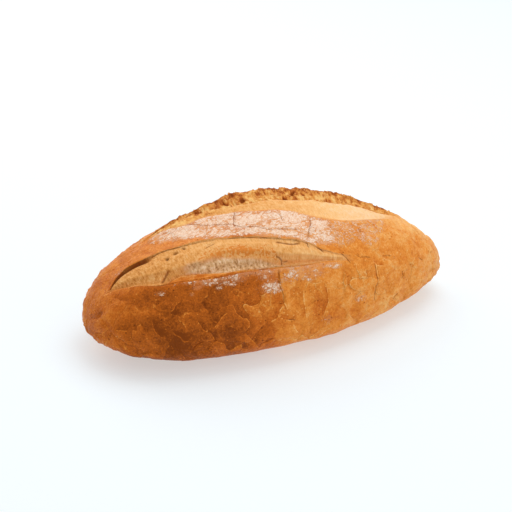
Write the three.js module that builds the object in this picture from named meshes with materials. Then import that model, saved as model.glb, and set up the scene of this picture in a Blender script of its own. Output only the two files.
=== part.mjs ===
import * as THREE from 'three';

// Rustic loaf of bread in one solid piece, lying on its flat base.
// Millimetres and degrees. X runs along the loaf, Y across it towards the back, Z up from the board.

// ---------------------------------------------------------------- overall form
const LENGTH = 280;
const WIDTH = 128;
const CROWN = 92.8;
const WAIST = 28;
const TIP_HEIGHT = 24.2;
const SETTLE = 2.5;
const PLAN_ROUND_LEFT = 3.57;
const PLAN_ROUND_RIGHT = 1.4;
const CROWN_ROUND_LEFT = 1.61;
const CROWN_ROUND_RIGHT = 1.55;
const PLAN_TAPER = 0.069;
const CROWN_TAPER = -0.036;
const SIDE_BEND = -2.6;
const UPPER_SQUARE = 2.41;
const LOWER_SQUARE = 2.39;
const KEEL_ROUND = 2.4;

// ---------------------------------------------------------------- relief of the crust
const BROAD_SWELL = 1.1;
const BROAD_SIZE = 46;
const SMALL_SWELL = 0.5;
const SMALL_SIZE = 19;
const PLATE_SIZE = 21;
const PLATE_STEP = 0.8;
const PLATE_CROWN = 0.7;

// ---------------------------------------------------------------- front cut, opened in the oven
const CUT_LIP = 1.3;
const CUT_TUCK = -2.6;
const CUT_RIDGE = 1.0;
const CUT_FLOOR = -4.4;
const CUT_EAR = 2.8;
const CUT_OVERHANG = 1.2;

// ---------------------------------------------------------------- top cut, torn open with a raised crest
const TEAR_RAGGED = 0.24;
const TEAR_FOOT = -4.8;
const TEAR_SHEET = 0.5;
const TEAR_RIM = 0.7;
const TEAR_LEAN = 1.6;

// ---------------------------------------------------------------- facets
const STATIONS = 92;
const UNDER_ROWS = 5;
const BACK_ROWS = 11;
const FRONT_ROWS = 15;
const WALL_STEPS = [0, 0.18, 0.38, 0.6, 0.8, 0.93];
const SHEET_STEPS = [0, 0.3, 0.65, 0.94];
const BAND_STEPS = [0, 0.18, 0.42, 0.7, 0.92];
const BLOOM_STEPS = [0, 0.1, 0.24, 0.48, 0.75];
const FIBRE_STEPS = [0, 0.25, 0.5, 0.75, 0.92];

// Height of the torn crest above the plain loaf: place along X, then millimetres.
const CREST_RISE = [
  [-92, 0], [-74, 0.5], [-62, 1.3], [-50, 2.1], [-30, 3.3], [-10, 4.7], [8, 5.6], [28, 5.4],
  [45, 4.2], [65, 3.9], [80, 2.8], [91, 1.4], [101, 0.5], [112, 0],
];

// Lines drawn over the loaf: place along X, then the angle round the section.
// The angle is 0 at the back, 90 on the crown and 180 at the front.
const CREST_LINE = [
  [-140, 68], [-88, 60], [-72, 58.5], [-55, 54.5], [-40, 55.5], [-20, 58], [10, 61.5], [46, 65],
  [76, 68], [92, 74], [102, 81.5], [110, 84], [140, 83],
];
const STEP_LINE = [
  [-140, 70.5], [-88, 63], [-74, 62], [-62, 62.5], [-48, 63], [-35, 71], [-21, 78], [-3, 82],
  [18, 84.8], [37, 85.5], [47, 88.5], [62, 89], [71, 91], [82, 94.5], [94, 96], [110, 88.5],
  [140, 86],
];
const RIM_LINE = [
  [-140, 73], [-88, 66.5], [-74, 67], [-62, 76.5], [-44, 78], [-32, 84], [-22, 87], [-10, 93.5],
  [4, 97], [14, 101.3], [24, 106.5], [35, 110.6], [53, 113], [75, 109.3], [89, 104.8], [97, 102.5],
  [110, 93], [140, 89],
];
const LIP_LINE = [
  [-140, 106], [-124, 102.5], [-119, 95.2], [-113.5, 90.3], [-104, 90.4], [-94, 94.2], [-83, 97],
  [-73, 100.8], [-59, 105], [-40, 111.4], [-19, 118.7], [-2, 124], [7, 126.5], [14, 130.4],
  [21, 134.6], [36, 139], [60, 143], [140, 147],
];
const RIDGE_LINE = [
  [-140, 108], [-124, 104.6], [-115, 107], [-104, 113.5], [-95, 117.5], [-82, 119.8], [-66, 122],
  [-52, 120], [-45, 120.6], [-33, 124.5], [-21, 127.5], [-8, 132], [7, 134.8], [20, 137.8],
  [36, 140.6], [60, 144.5], [140, 148.5],
];
const EAR_LINE = [
  [-140, 110], [-124, 107], [-115, 117], [-110, 121.4], [-103, 126.4], [-95, 129], [-86, 131],
  [-77, 132.8], [-61, 135.6], [-49, 135.8], [-38, 136.7], [-25, 138], [-15, 138.8], [-7, 139.8],
  [4, 140], [19, 140.4], [36, 142.3], [60, 146], [140, 150],
];

// ---------------------------------------------------------------- small helpers
function clamp(value, low, high) {
  return Math.min(high, Math.max(low, value));
}

function ease(low, high, value) {
  const k = clamp((value - low) / (high - low), 0, 1);
  return k * k * (3 - 2 * k);
}

function slopeAt(knots, i) {
  const a = knots[Math.max(i - 1, 0)];
  const b = knots[Math.min(i + 1, knots.length - 1)];
  return (b[1] - a[1]) / (b[0] - a[0]);
}

// Smooth line through knots.
function curve(knots, x) {
  const last = knots.length - 1;
  if (x <= knots[0][0]) return knots[0][1];
  if (x >= knots[last][0]) return knots[last][1];
  let i = 0;
  while (x > knots[i + 1][0]) i += 1;
  const span = knots[i + 1][0] - knots[i][0];
  const k = (x - knots[i][0]) / span;
  const m0 = slopeAt(knots, i) * span;
  const m1 = slopeAt(knots, i + 1) * span;
  const k2 = k * k;
  const k3 = k2 * k;
  const start = (2 * k3 - 3 * k2 + 1) * knots[i][1] + (k3 - 2 * k2 + k) * m0;
  return start + (3 * k2 - 2 * k3) * knots[i + 1][1] + (k3 - k2) * m1;
}

// Repeatable scatter value between 0 and 1 for one lattice point.
function scatter(ix, iy, iz, seed) {
  let h = Math.imul(ix, 0x9e3779b1) + Math.imul(iy, 0x85ebca6b);
  h = (h + Math.imul(iz, 0xc2b2ae35) + Math.imul(seed, 0x27d4eb2f)) | 0;
  h ^= h >>> 15;
  h = Math.imul(h, 0x2c1b3c6d);
  h ^= h >>> 12;
  h = Math.imul(h, 0x297a2d39);
  h ^= h >>> 15;
  return (h >>> 0) / 4294967296;
}

function mix(a, b, k) {
  return a + (b - a) * k;
}

// Smooth swelling between -1 and 1 over the whole space.
function swell(point, size, seed) {
  const x = point.x / size;
  const y = point.y / size;
  const z = point.z / size;
  const ix = Math.floor(x);
  const iy = Math.floor(y);
  const iz = Math.floor(z);
  const fx = ease(0, 1, x - ix);
  const fy = ease(0, 1, y - iy);
  const fz = ease(0, 1, z - iz);
  const sheets = [0, 1].map((dz) => {
    const rows = [0, 1].map((dy) => {
      const a = scatter(ix, iy + dy, iz + dz, seed);
      const b = scatter(ix + 1, iy + dy, iz + dz, seed);
      return mix(a, b, fx);
    });
    return mix(rows[0], rows[1], fy);
  });
  return 2 * mix(sheets[0], sheets[1], fz) - 1;
}

// Nearest plate of crackled crust: its step up or down and how far in from its edge the point lies.
function plate(point, size, seed) {
  const wave = 0.28;
  const x = point.x / size + wave * swell(point, size * 0.9, seed + 11);
  const y = point.y / size + wave * swell(point, size * 0.9, seed + 12);
  const z = point.z / size + wave * swell(point, size * 0.9, seed + 13);
  const ix = Math.floor(x);
  const iy = Math.floor(y);
  const iz = Math.floor(z);
  let first = 9;
  let second = 9;
  let step = 0;
  for (let dx = -1; dx <= 1; dx += 1) {
    for (let dy = -1; dy <= 1; dy += 1) {
      for (let dz = -1; dz <= 1; dz += 1) {
        const cx = ix + dx;
        const cy = iy + dy;
        const cz = iz + dz;
        const px = cx + 0.15 + 0.7 * scatter(cx, cy, cz, seed);
        const py = cy + 0.15 + 0.7 * scatter(cx, cy, cz, seed + 1);
        const pz = cz + 0.15 + 0.7 * scatter(cx, cy, cz, seed + 2);
        const gap = Math.hypot(px - x, py - y, pz - z);
        if (gap < first) {
          second = first;
          first = gap;
          step = 2 * scatter(cx, cy, cz, seed + 3) - 1;
        } else if (gap < second) {
          second = gap;
        }
      }
    }
  }
  return { step, inset: clamp((second - first) / 0.5, 0, 1) };
}

// ---------------------------------------------------------------- plain loaf, before cuts and crackle
function section(t) {
  const far = clamp(Math.abs(t), 0, 1);
  const planPower = t < 0 ? PLAN_ROUND_LEFT : PLAN_ROUND_RIGHT;
  const crownPower = t < 0 ? CROWN_ROUND_LEFT : CROWN_ROUND_RIGHT;
  const plan = Math.sqrt(1 - far ** planPower) * (1 + PLAN_TAPER * t);
  const rise = Math.sqrt(1 - far ** crownPower);
  const keel = 1 - Math.sqrt(1 - far ** KEEL_ROUND);
  return {
    half: Math.max((WIDTH / 2) * plan, 1e-6),
    top: TIP_HEIGHT + (CROWN - TIP_HEIGHT) * rise * (1 + CROWN_TAPER * t),
    waist: TIP_HEIGHT + (WAIST - TIP_HEIGHT) * rise,
    bottom: TIP_HEIGHT * keel,
    centre: SIDE_BEND * (1 - t * t),
  };
}

function plain(t, angle) {
  const shape = section(t);
  const across = Math.cos((angle * Math.PI) / 180);
  const upward = Math.sin((angle * Math.PI) / 180);
  const above = upward >= 0;
  const drop = Math.max(above ? shape.top - shape.waist : shape.waist - shape.bottom, 1e-6);
  const power = above ? UPPER_SQUARE : LOWER_SQUARE;
  const sum = Math.abs(across / shape.half) ** power + Math.abs(upward / drop) ** power;
  const reach = sum ** (-1 / power);
  const height = Math.max(shape.waist + reach * upward - SETTLE, 0);
  return new THREE.Vector3((t * LENGTH) / 2, shape.centre + reach * across, height);
}

// Outward direction and the direction towards the front, both on the plain loaf.
function directions(t, angle) {
  const nudge = 0.004;
  const before = plain(clamp(t - nudge, -0.9999, 0.9999), angle);
  const after = plain(clamp(t + nudge, -0.9999, 0.9999), angle);
  const along = plain(t, angle + 0.6).sub(plain(t, angle - 0.6)).normalize();
  const out = along.clone().cross(after.sub(before)).normalize();
  return { along, out };
}

// ---------------------------------------------------------------- how strongly each cut shows along X
function cutStrength(x) {
  return ease(-127, -114, x) * (1 - ease(16, 44, x));
}

function earStrength(x) {
  return ease(-112, -70, x) * (1 - ease(-8, 34, x));
}

function tearStrength(x) {
  return ease(-92, -64, x) * (1 - ease(90, 112, x));
}

function crestHeight(x) {
  const lumps = swell(new THREE.Vector3(x, 0, 0), 13, 31) + 0.6 * swell(new THREE.Vector3(x, 0, 0), 6, 32);
  return curve(CREST_RISE, x) * (1 + TEAR_RAGGED * lumps);
}

// ---------------------------------------------------------------- height above the plain loaf
// Each part returns how far the crust stands out and how far it is pushed towards the front.
function cutShape(x, part, f) {
  const strength = cutStrength(x);
  const ear = CUT_EAR * earStrength(x);
  const deep = 0.45 + 0.55 * earStrength(x);
  if (part === 'bloom') {
    const knots = [[0, CUT_LIP], [0.12, CUT_TUCK], [0.3, -0.4], [0.6, 0.9], [1, CUT_RIDGE]];
    const push = CUT_OVERHANG * (1 - ease(0, 0.12, f)) - 0.6 * (1 - ease(0.1, 0.3, f));
    return { out: strength * curve(knots, f), push: strength * push };
  }
  const trough = CUT_FLOOR * deep;
  const knots = [[0, CUT_RIDGE], [0.28, trough * 0.45], [0.7, trough], [0.86, trough * 0.6], [1, 0]];
  const rise = ear * ease(0.72, 1, f);
  const push = -0.8 * ease(0.86, 1, f) * earStrength(x);
  return { out: strength * curve(knots, f) + rise, push };
}

function tearShape(x, part, f) {
  const strength = tearStrength(x);
  const crest = crestHeight(x);
  if (part === 'wall') {
    const rough = 1.3 * swell(new THREE.Vector3(x, f * 24, 5), 9, 41) * Math.sin(Math.PI * f);
    const fall = strength * TEAR_FOOT * ease(0.1, 0.86, f);
    const lift = strength * (TEAR_SHEET - TEAR_FOOT) * ease(0.92, 1, f);
    const out = crest * (1 - ease(0, 0.75, f)) + fall + lift + strength * rough;
    return { out, push: strength * TEAR_LEAN * (1 - ease(0, 0.3, f)) };
  }
  const knots = [[0, TEAR_SHEET], [0.45, 0.35], [0.85, -0.5], [1, TEAR_RIM]];
  return { out: strength * curve(knots, f), push: 0 };
}

function crustShape(x, angle, point) {
  const reach = (Math.PI / 180) * Math.hypot(point.y, point.z - WAIST);
  const toFront = Math.max(angle - curve(EAR_LINE, x), 0) * reach;
  const toLip = Math.max(curve(LIP_LINE, x) - angle, 0) * reach;
  const toRim = Math.max(angle - curve(RIM_LINE, x), 0) * reach;
  const toCrest = Math.max(curve(CREST_LINE, x) - angle, 0) * reach;
  const between = toRim > 0 && toLip > 0;
  const front = toFront > 0 ? CUT_EAR * earStrength(x) * Math.exp(-((toFront / 9) ** 1.5)) : 0;
  const lip = between ? CUT_LIP * cutStrength(x) * Math.exp(-((toLip / 6) ** 1.5)) : 0;
  const rim = between ? TEAR_RIM * tearStrength(x) * Math.exp(-((toRim / 5) ** 1.5)) : 0;
  const crest = toCrest > 0 ? crestHeight(x) * Math.exp(-((toCrest / 9) ** 1.4)) : 0;
  const lean = toCrest > 0 ? TEAR_LEAN * tearStrength(x) * Math.exp(-((toCrest / 6) ** 1.4)) : 0;
  const over = between ? CUT_OVERHANG * cutStrength(x) * Math.exp(-((toLip / 5) ** 1.4)) : 0;
  const back = toFront > 0 ? -0.8 * earStrength(x) * Math.exp(-((toFront / 5) ** 1.4)) : 0;
  const scale = plate(point, PLATE_SIZE, 71);
  const side = toFront > 0 ? ease(2, 14, toFront) : ease(8, 24, toCrest);
  const crackle = PLATE_STEP * scale.step * ease(0, 0.35, scale.inset) + PLATE_CROWN * (scale.inset - 0.5);
  return { out: front + lip + rim + crest + side * crackle, push: lean + over + back };
}

function shaped(x, angle, part, f) {
  const t = (2 * x) / LENGTH;
  const point = plain(t, angle);
  const { along, out } = directions(t, angle);
  let form = crustShape(x, angle, point);
  if (part === 'bloom' || part === 'fibre') form = cutShape(x, part, f);
  if (part === 'wall' || part === 'sheet') form = tearShape(x, part, f);
  const broad = BROAD_SWELL * swell(point, BROAD_SIZE, 1) + SMALL_SWELL * swell(point, SMALL_SIZE, 2);
  const free = ease(0.5, 9, point.z);
  point.addScaledVector(out, (form.out + broad) * free);
  point.addScaledVector(along, form.push * free);
  point.z = Math.max(point.z, 0);
  return point;
}

// ---------------------------------------------------------------- rows round one station
// Angles from one line to the next, evenly spaced over the crust.
function spread(t, from, to, count) {
  const steps = 48;
  const lengths = [0];
  let before = plain(t, from);
  for (let i = 1; i <= steps; i += 1) {
    const next = plain(t, mix(from, to, i / steps));
    lengths.push(lengths[i - 1] + next.distanceTo(before));
    before = next;
  }
  const angles = [];
  let i = 0;
  for (let n = 0; n < count; n += 1) {
    const wanted = (lengths[steps] * n) / count;
    while (i < steps - 1 && lengths[i + 1] < wanted) i += 1;
    const k = (wanted - lengths[i]) / (lengths[i + 1] - lengths[i]);
    angles.push(mix(from, to, (i + k) / steps));
  }
  return angles;
}

function ring(x) {
  const t = (2 * x) / LENGTH;
  const crest = curve(CREST_LINE, x);
  const step = curve(STEP_LINE, x);
  const rim = curve(RIM_LINE, x);
  const lip = curve(LIP_LINE, x);
  const ridge = curve(RIDGE_LINE, x);
  const ear = curve(EAR_LINE, x);
  const points = [];
  const lay = (part, from, to, steps) => {
    steps.forEach((f) => points.push(shaped(x, mix(from, to, f), part, f)));
  };
  spread(t, -90, -35, UNDER_ROWS).forEach((angle) => points.push(shaped(x, angle, 'crust', 0)));
  spread(t, -35, crest, BACK_ROWS).forEach((angle) => points.push(shaped(x, angle, 'crust', 0)));
  lay('wall', crest, step, WALL_STEPS);
  lay('sheet', step, rim, SHEET_STEPS);
  lay('crust', rim, lip, BAND_STEPS);
  lay('bloom', lip, ridge, BLOOM_STEPS);
  lay('fibre', ridge, ear, FIBRE_STEPS);
  spread(t, ear, 215, FRONT_ROWS).forEach((angle) => points.push(shaped(x, angle, 'crust', 0)));
  spread(t, 215, 270, UNDER_ROWS).forEach((angle) => points.push(shaped(x, angle, 'crust', 0)));
  return points;
}

// ---------------------------------------------------------------- stations at equal steps along the outline
function stations(count) {
  const steps = 2000;
  const places = [];
  const lengths = [0];
  let before = null;
  for (let i = 0; i <= steps; i += 1) {
    const t = -Math.cos((Math.PI * i) / steps);
    const shape = section(t);
    const here = new THREE.Vector3((t * LENGTH) / 2, shape.half, (shape.top - TIP_HEIGHT) * 0.7);
    if (before) lengths.push(lengths[i - 1] + here.distanceTo(before));
    places.push((t * LENGTH) / 2);
    before = here;
  }
  const chosen = [];
  let i = 0;
  for (let n = 1; n < count; n += 1) {
    const wanted = (lengths[steps] * n) / count;
    while (lengths[i + 1] < wanted) i += 1;
    const k = (wanted - lengths[i]) / (lengths[i + 1] - lengths[i]);
    chosen.push(mix(places[i], places[i + 1], k));
  }
  return chosen;
}

// ---------------------------------------------------------------- one closed skin
function buildLoaf() {
  const rings = stations(STATIONS).map((x) => ring(x));
  const count = rings[0].length;
  const positions = [];
  rings.forEach((points) => points.forEach((p) => positions.push(p.x, p.y, p.z)));
  const leftTip = rings.length * count;
  const rightTip = leftTip + 1;
  positions.push(-LENGTH / 2, 0, TIP_HEIGHT - SETTLE);
  positions.push(LENGTH / 2, 0, TIP_HEIGHT - SETTLE);
  const index = [];
  for (let s = 0; s < rings.length - 1; s += 1) {
    for (let r = 0; r < count; r += 1) {
      const next = (r + 1) % count;
      const a = s * count + r;
      const b = s * count + next;
      const c = (s + 1) * count + r;
      const d = (s + 1) * count + next;
      index.push(a, b, c);
      index.push(b, d, c);
    }
  }
  const lastRing = (rings.length - 1) * count;
  for (let r = 0; r < count; r += 1) {
    const next = (r + 1) % count;
    index.push(leftTip, next, r);
    index.push(rightTip, lastRing + r, lastRing + next);
  }
  const geometry = new THREE.BufferGeometry();
  geometry.setAttribute('position', new THREE.Float32BufferAttribute(positions, 3));
  geometry.setIndex(index);
  geometry.computeVertexNormals();
  return geometry;
}

const crust = new THREE.MeshStandardMaterial({ color: 0xc07a38, roughness: 0.72, metalness: 0 });
const loaf = new THREE.Mesh(buildLoaf(), crust);
loaf.name = 'loaf';

const part = new THREE.Group();
part.name = 'rustic_loaf';
part.add(loaf);

export default part;
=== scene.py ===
"""Rustic bread loaf: crackled crust, two oven-opened cuts, loose flour and crumbs, on a plain pale floor."""
import itertools
import math

import bpy
import numpy as np
from mathutils import Matrix, Vector


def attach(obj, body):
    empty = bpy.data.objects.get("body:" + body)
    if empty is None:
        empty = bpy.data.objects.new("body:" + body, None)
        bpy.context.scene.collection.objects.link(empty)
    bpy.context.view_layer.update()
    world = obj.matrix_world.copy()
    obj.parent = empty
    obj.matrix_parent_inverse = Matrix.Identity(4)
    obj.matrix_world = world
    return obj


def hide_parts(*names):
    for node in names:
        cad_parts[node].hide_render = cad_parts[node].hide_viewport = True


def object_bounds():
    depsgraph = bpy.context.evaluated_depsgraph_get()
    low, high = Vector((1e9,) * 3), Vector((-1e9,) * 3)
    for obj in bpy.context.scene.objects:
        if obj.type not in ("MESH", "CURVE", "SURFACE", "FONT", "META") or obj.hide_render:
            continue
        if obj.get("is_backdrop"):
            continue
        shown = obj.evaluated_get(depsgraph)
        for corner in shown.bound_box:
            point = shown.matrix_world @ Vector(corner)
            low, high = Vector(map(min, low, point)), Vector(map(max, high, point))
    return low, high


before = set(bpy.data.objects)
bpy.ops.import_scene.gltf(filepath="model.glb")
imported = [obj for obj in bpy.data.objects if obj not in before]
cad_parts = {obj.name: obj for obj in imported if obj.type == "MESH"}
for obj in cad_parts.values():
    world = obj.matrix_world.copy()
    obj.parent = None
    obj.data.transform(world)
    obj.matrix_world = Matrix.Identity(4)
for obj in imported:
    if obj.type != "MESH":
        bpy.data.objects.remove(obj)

bl_info = {
    "name": "Rustic Bread Loaf",
    "version": (1, 0, 0),
    "blender": (4, 5, 0),
    "location": "3D View > Sidebar > Loaf",
    "description": "Builds a rustic loaf with a crackled crust, torn cuts and loose flour",
    "category": "Add Mesh",
}

CAD_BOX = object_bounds()
BODY = "root"
NODE = "loaf"
MM = 0.001

# ------------------------------------------------------------------ form, in millimetres
# How full the outline stays from above and from the side, towards the left end and towards the right end.
PLAN_ROUND = (3.57, 1.4)
CROWN_ROUND = (1.61, 1.55)

# How much wider and higher it gets towards the right end, as a share, and how far its middle bends forward.
PLAN_TAPER = 0.069
CROWN_TAPER = -0.036
SIDE_BEND = -2.6

# How square the section is above and below its waist, and how full the base stays towards the ends.
UPPER_SQUARE = 2.41
LOWER_SQUARE = 2.39
KEEL_ROUND = 2.4

# Height of the waist in the middle and of the two tips, and how far the loaf sinks onto its flat base.
WAIST = 28.0
TIP_HEIGHT = 24.2
SETTLE = 2.5

# Front cut: its lip, the tuck under that, the ridge, the floor and the ear; how far lip and ear lean.
CUT_LIP = 0.4
CUT_TUCK = -0.25
CUT_RIDGE = 1.0
CUT_FLOOR = -3.6
CUT_EAR = 2.2
CUT_OVERHANG = 0.3
CUT_EAR_LEAN = 0.8

# Top cut: how ragged its crest is, the foot of its wall, the smooth sheet, its rim, and the crest's lean.
TEAR_RAGGED = 0.24
TEAR_FOOT = -4.8
TEAR_SHEET = 0.5
TEAR_RIM = 0.7
TEAR_LEAN = 1.6

# Where along X each opening begins and ends: from and to for each of its two soft ends.
CUT_RUN = ((-127, -114), (16, 44))
EAR_RUN = ((-112, -70), (-8, 34))
TEAR_RUN = ((-92, -64), (90, 112))

# How far off a seam's fields reach, how far round it they are looked for, and how closely the bloom's rows
# crowd towards its lip.
SEAM_REACH = 4.0
SEAM_BOX = 16
BLOOM_CROWDING = 1.35

# Height of the torn crest above the plain loaf: place along X, then millimetres.
CREST_RISE = [
    (-92, 0), (-74, 0.5), (-62, 1.3), (-50, 2.1), (-30, 3.3), (-10, 4.7), (8, 5.6), (28, 5.4), (45, 4.2),
    (65, 3.9), (80, 2.8), (91, 1.4), (101, 0.5), (112, 0),
]

# Lines over the loaf: place along X, then the angle round the section (0 back, 90 crown, 180 front).
CREST_LINE = [
    (-140, 68), (-88, 60), (-72, 58.5), (-55, 54.5), (-40, 55.5), (-20, 58), (10, 61.5), (46, 65), (76, 68),
    (92, 74), (102, 81.5), (110, 84), (140, 83),
]
STEP_LINE = [
    (-140, 70.5), (-88, 63), (-74, 62), (-62, 62.5), (-48, 63), (-35, 71), (-21, 78), (-3, 82), (18, 85),
    (37, 85.5), (47, 88.5), (62, 89), (71, 91), (82, 94.5), (94, 96), (110, 88.5), (140, 86),
]
RIM_LINE = [
    (-140, 73), (-88, 66.5), (-74, 67), (-62, 76.5), (-44, 78), (-32, 84), (-22, 87), (-10, 93.5), (4, 97),
    (14, 101.5), (24, 106.5), (35, 110.5), (53, 113), (75, 109.5), (89, 105), (97, 102.5), (110, 93),
    (140, 89),
]
LIP_LINE = [
    (-140, 106), (-124, 102.5), (-119, 95), (-113.5, 90.5), (-104, 90.5), (-94, 94), (-83, 97), (-73, 101),
    (-59, 105), (-40, 111.5), (-19, 118.5), (-2, 124), (7, 126.5), (14, 130.5), (21, 134.5), (36, 139),
    (60, 143), (140, 147),
]
RIDGE_LINE = [
    (-140, 108), (-124, 104.5), (-115, 107), (-104, 113.5), (-95, 117.5), (-82, 120), (-66, 122),
    (-52, 120), (-45, 120.5), (-33, 124.5), (-21, 127.5), (-8, 132), (7, 135), (20, 138), (36, 140.5),
    (60, 144.5), (140, 148.5),
]
EAR_LINE = [
    (-140, 110), (-124, 106.5), (-115, 116), (-107, 122), (-99, 128), (-92, 130.5), (-77, 134),
    (-61, 136.5), (-38, 137.5), (-15, 139.5), (4, 141), (19, 141), (36, 142.5), (60, 146), (140, 150),
]
FLOUR_EDGE = [
    (-140, 76), (-90, 80), (-81, 84), (-58, 101), (-33, 112), (-7.5, 121), (19, 131), (45, 130), (69, 126),
    (90, 118), (140, 100),
]

# Where the grey strands of the front cut begin, and where its rolled lower edge begins.
STRAND_LINE = [
    (-92, 124), (-77, 121.5), (-66, 122.5), (-56, 123), (-43, 126.5), (-30, 130.5), (-20, 134.5),
    (-12, 138.5), (4, 140),
]
ROLL_LINE = [
    (-94, 128), (-83, 126), (-75, 127.5), (-62, 131), (-50, 135), (-36, 137), (-23, 139), (-12, 140),
]

# Cracks: half width, depth, then places as X and angle.
CRACKS = [
    (0.95, 1.8, [(-17.5, 140.5), (-17.5, 149.5)]),
    (0.4, 0.9, [(-17.5, 145), (-17.5, 151), (-16, 158), (-16.5, 161.5)]),
    (0.5, 0.9, [(-83.5, 184), (-81, 180.5), (-78, 178), (-74.5, 177)]),
    (0.4, 0.6, [(-69, 178.5), (-65, 177)]),
    (0.4, 0.6, [(-47.5, 176), (-43, 172.5)]),
    (0.5, 0.9, [(-35.5, 189.5), (-33.5, 186), (-26.5, 183.5), (-24, 183.5)]),
    (0.4, 0.6, [(-21, 159.5), (-16.5, 161.5)]),
    (0.45, 0.8, [(-14.5, 172), (-7.5, 173)]),
    (0.6, 1.2, [(15.5, 131.5), (18.5, 133.5), (20.5, 136)]),
    (0.45, 0.8, [(33, 137), (37.5, 141), (40.5, 145.5)]),
    (0.4, 0.7, [(46, 140), (49, 142), (58.5, 143.5)]),
    (0.45, 0.9, [(60.5, 148), (62, 161.5)]),
    (0.4, 0.7, [(62, 161), (59.5, 164.5), (58.5, 174.5), (59.5, 177)]),
    (0.4, 0.7, [(86.5, 158), (88.5, 163.5), (86, 166.5)]),
    (0.4, 0.7, [(82, 177), (78.5, 179.5), (77, 183)]),
    (0.4, 0.7, [(105, 149.5), (110.5, 154)]),
    (0.3, 0.4, [(-60, 78), (-56, 79.5), (-48.5, 88), (-32, 99)]),
    (0.3, 0.4, [(-32, 99), (-29.5, 104), (-18, 108.5), (-16.5, 110.5), (-9, 115)]),
    (0.3, 0.4, [(-9, 115), (2.5, 116), (9, 117.5)]),
    (0.3, 0.4, [(-24, 84), (-28, 90.5), (-32, 99), (-32.5, 103)]),
    (0.3, 0.4, [(1.5, 99.5), (1, 109)]),
    (0.3, 0.4, [(22, 109), (19.5, 114.5), (15.5, 119), (12, 125)]),
    (0.3, 0.4, [(32, 125.5), (38, 126)]),
    (0.3, 0.4, [(33, 116), (36.5, 122)]),
    (1.15, 2.4, [(-123.5, 104.5), (-120, 98.5), (-116, 93.5), (-113, 91.5), (-102, 92), (-94.5, 95)]),
    (0.35, 0.5, [(-92, 95), (-80, 98.5), (-70.5, 102.5)]),
    (0.3, 0.4, [(-70.5, 102.5), (-50, 109)]),
    (0.35, 0.5, [(-41.5, 111), (-20.5, 118.5), (5, 126)]),
    (0.7, 1.2, [(-12.5, 123.5), (-2.5, 127), (5.5, 127.5)]),
    (0.5, 0.9, [(7.5, 127.5), (10, 128.5), (9.5, 130.5), (10, 132)]),
    (0.75, 1.4, [(-16, 131.5), (-13, 133), (-11.5, 135), (-12.5, 138.5)]),
    (0.6, 1, [(-10.5, 136), (-7, 136)]),
    (0.9, 1.8, [(-86.5, 119.5), (-95, 126.5)]),
    (0.55, 0.9, [(-59.5, 114), (-51, 111.5)]),
]

# Edges of crust plates that stand off: how far, how far back they slope, then places as X and angle.
# The side on the right, going along, stands higher.
# Their finish paints a highlight on the higher side and shade on the lower side.
EDGES = [
    (0.8, 8, [(-85.5, 145.5), (-90, 148), (-91.5, 150.5), (-95, 153)]),
    (0.9, 8, [(-106.5, 156.5), (-106.5, 160.5), (-105.5, 164.5), (-101, 171)]),
    (0.5, 6, [(-128, 160), (-121, 161.5)]),
    (0.8, 7, [(-94.5, 167), (-93, 169), (-89.5, 171.5), (-88, 174.5), (-84, 175.5)]),
    (0.9, 7, [(-78, 161.5), (-74.5, 168), (-69.5, 171), (-66.5, 177.5)]),
    (0.7, 7, [(-68, 168), (-61.5, 161.5), (-57, 159)]),
    (1, 8, [(-53, 154.5), (-51, 161), (-46.5, 165.5), (-44, 165.5), (-42, 168.5), (-42, 171),
            (-46, 175.5)]),
    (0.9, 8, [(-46, 176), (-42.5, 179), (-35, 188.5)]),
    (0.7, 6, [(-22.5, 168.5), (-20.5, 166.5), (-20, 164), (-16.5, 161.5)]),
    (0.8, 7, [(-27.5, 171), (-21.5, 168.5), (-17, 171.5), (-12, 172.5), (-7.5, 172.5)]),
    (0.7, 7, [(-10.5, 175), (-8.5, 180.5), (-6, 183)]),
    (1.1, 10, [(13, 176), (18, 167), (17, 157), (15, 153)]),
    (0.8, 7, [(58.5, 143.5), (60.5, 147), (64.5, 150), (69.5, 151)]),
    (0.5, 5, [(-127.5, 103), (-123.5, 106)]),
    (0.9, 10, [(-14.5, 166), (-16.5, 160), (-17.5, 154), (-18, 144)]),
    (0.6, 9, [(61.5, 163), (62, 158), (61, 148)]),
    (0.6, 9, [(-0.5, 174), (-2, 161), (-1.5, 155)]),
    (0.5, 3, [(-121.5, 106.5), (-115.5, 114.5), (-98.5, 128.5), (-92.5, 131), (-61, 136)]),
    (0.7, 3, [(-90, 128.5), (-83, 126), (-62, 131), (-50, 135), (-23, 139)]),
    (0.6, 3, [(49.5, 113), (63, 112), (95, 103.5), (100, 101)]),
]

# Hollows in the torn wall and the cuts, each darkened by painted shade: X, angle, half width, depth.
HOLLOWS = [
    (3, 77, 2.2, 2.4), (13, 77, 2, 2.2), (21, 74, 1.6, 1.8), (24, 78, 2.6, 3.2), (28, 70, 1.8, 1.6),
    (31, 78.5, 2.8, 3.4), (38, 80, 2, 2.4), (44, 81.5, 2.8, 3.4), (48.5, 83.5, 2.8, 3.4),
    (53, 85, 2.4, 2.8), (60, 85.5, 2, 2.2), (68, 86, 1.8, 2), (36, 71, 1.6, 1.6), (-5, 74, 1.8, 2),
    (-11, 69, 1.8, 1.8), (-22, 66, 1.6, 1.6), (-42, 59, 1.8, 1.6), (-54, 61, 1.8, 1.6), (-41, 66, 1.7, 1.6),
    (-63, 63, 1.5, 1.4), (-84.5, 109, 1.9, 2.2), (-77, 106, 1.9, 2), (-71, 104.5, 1.4, 1.6),
]

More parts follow.
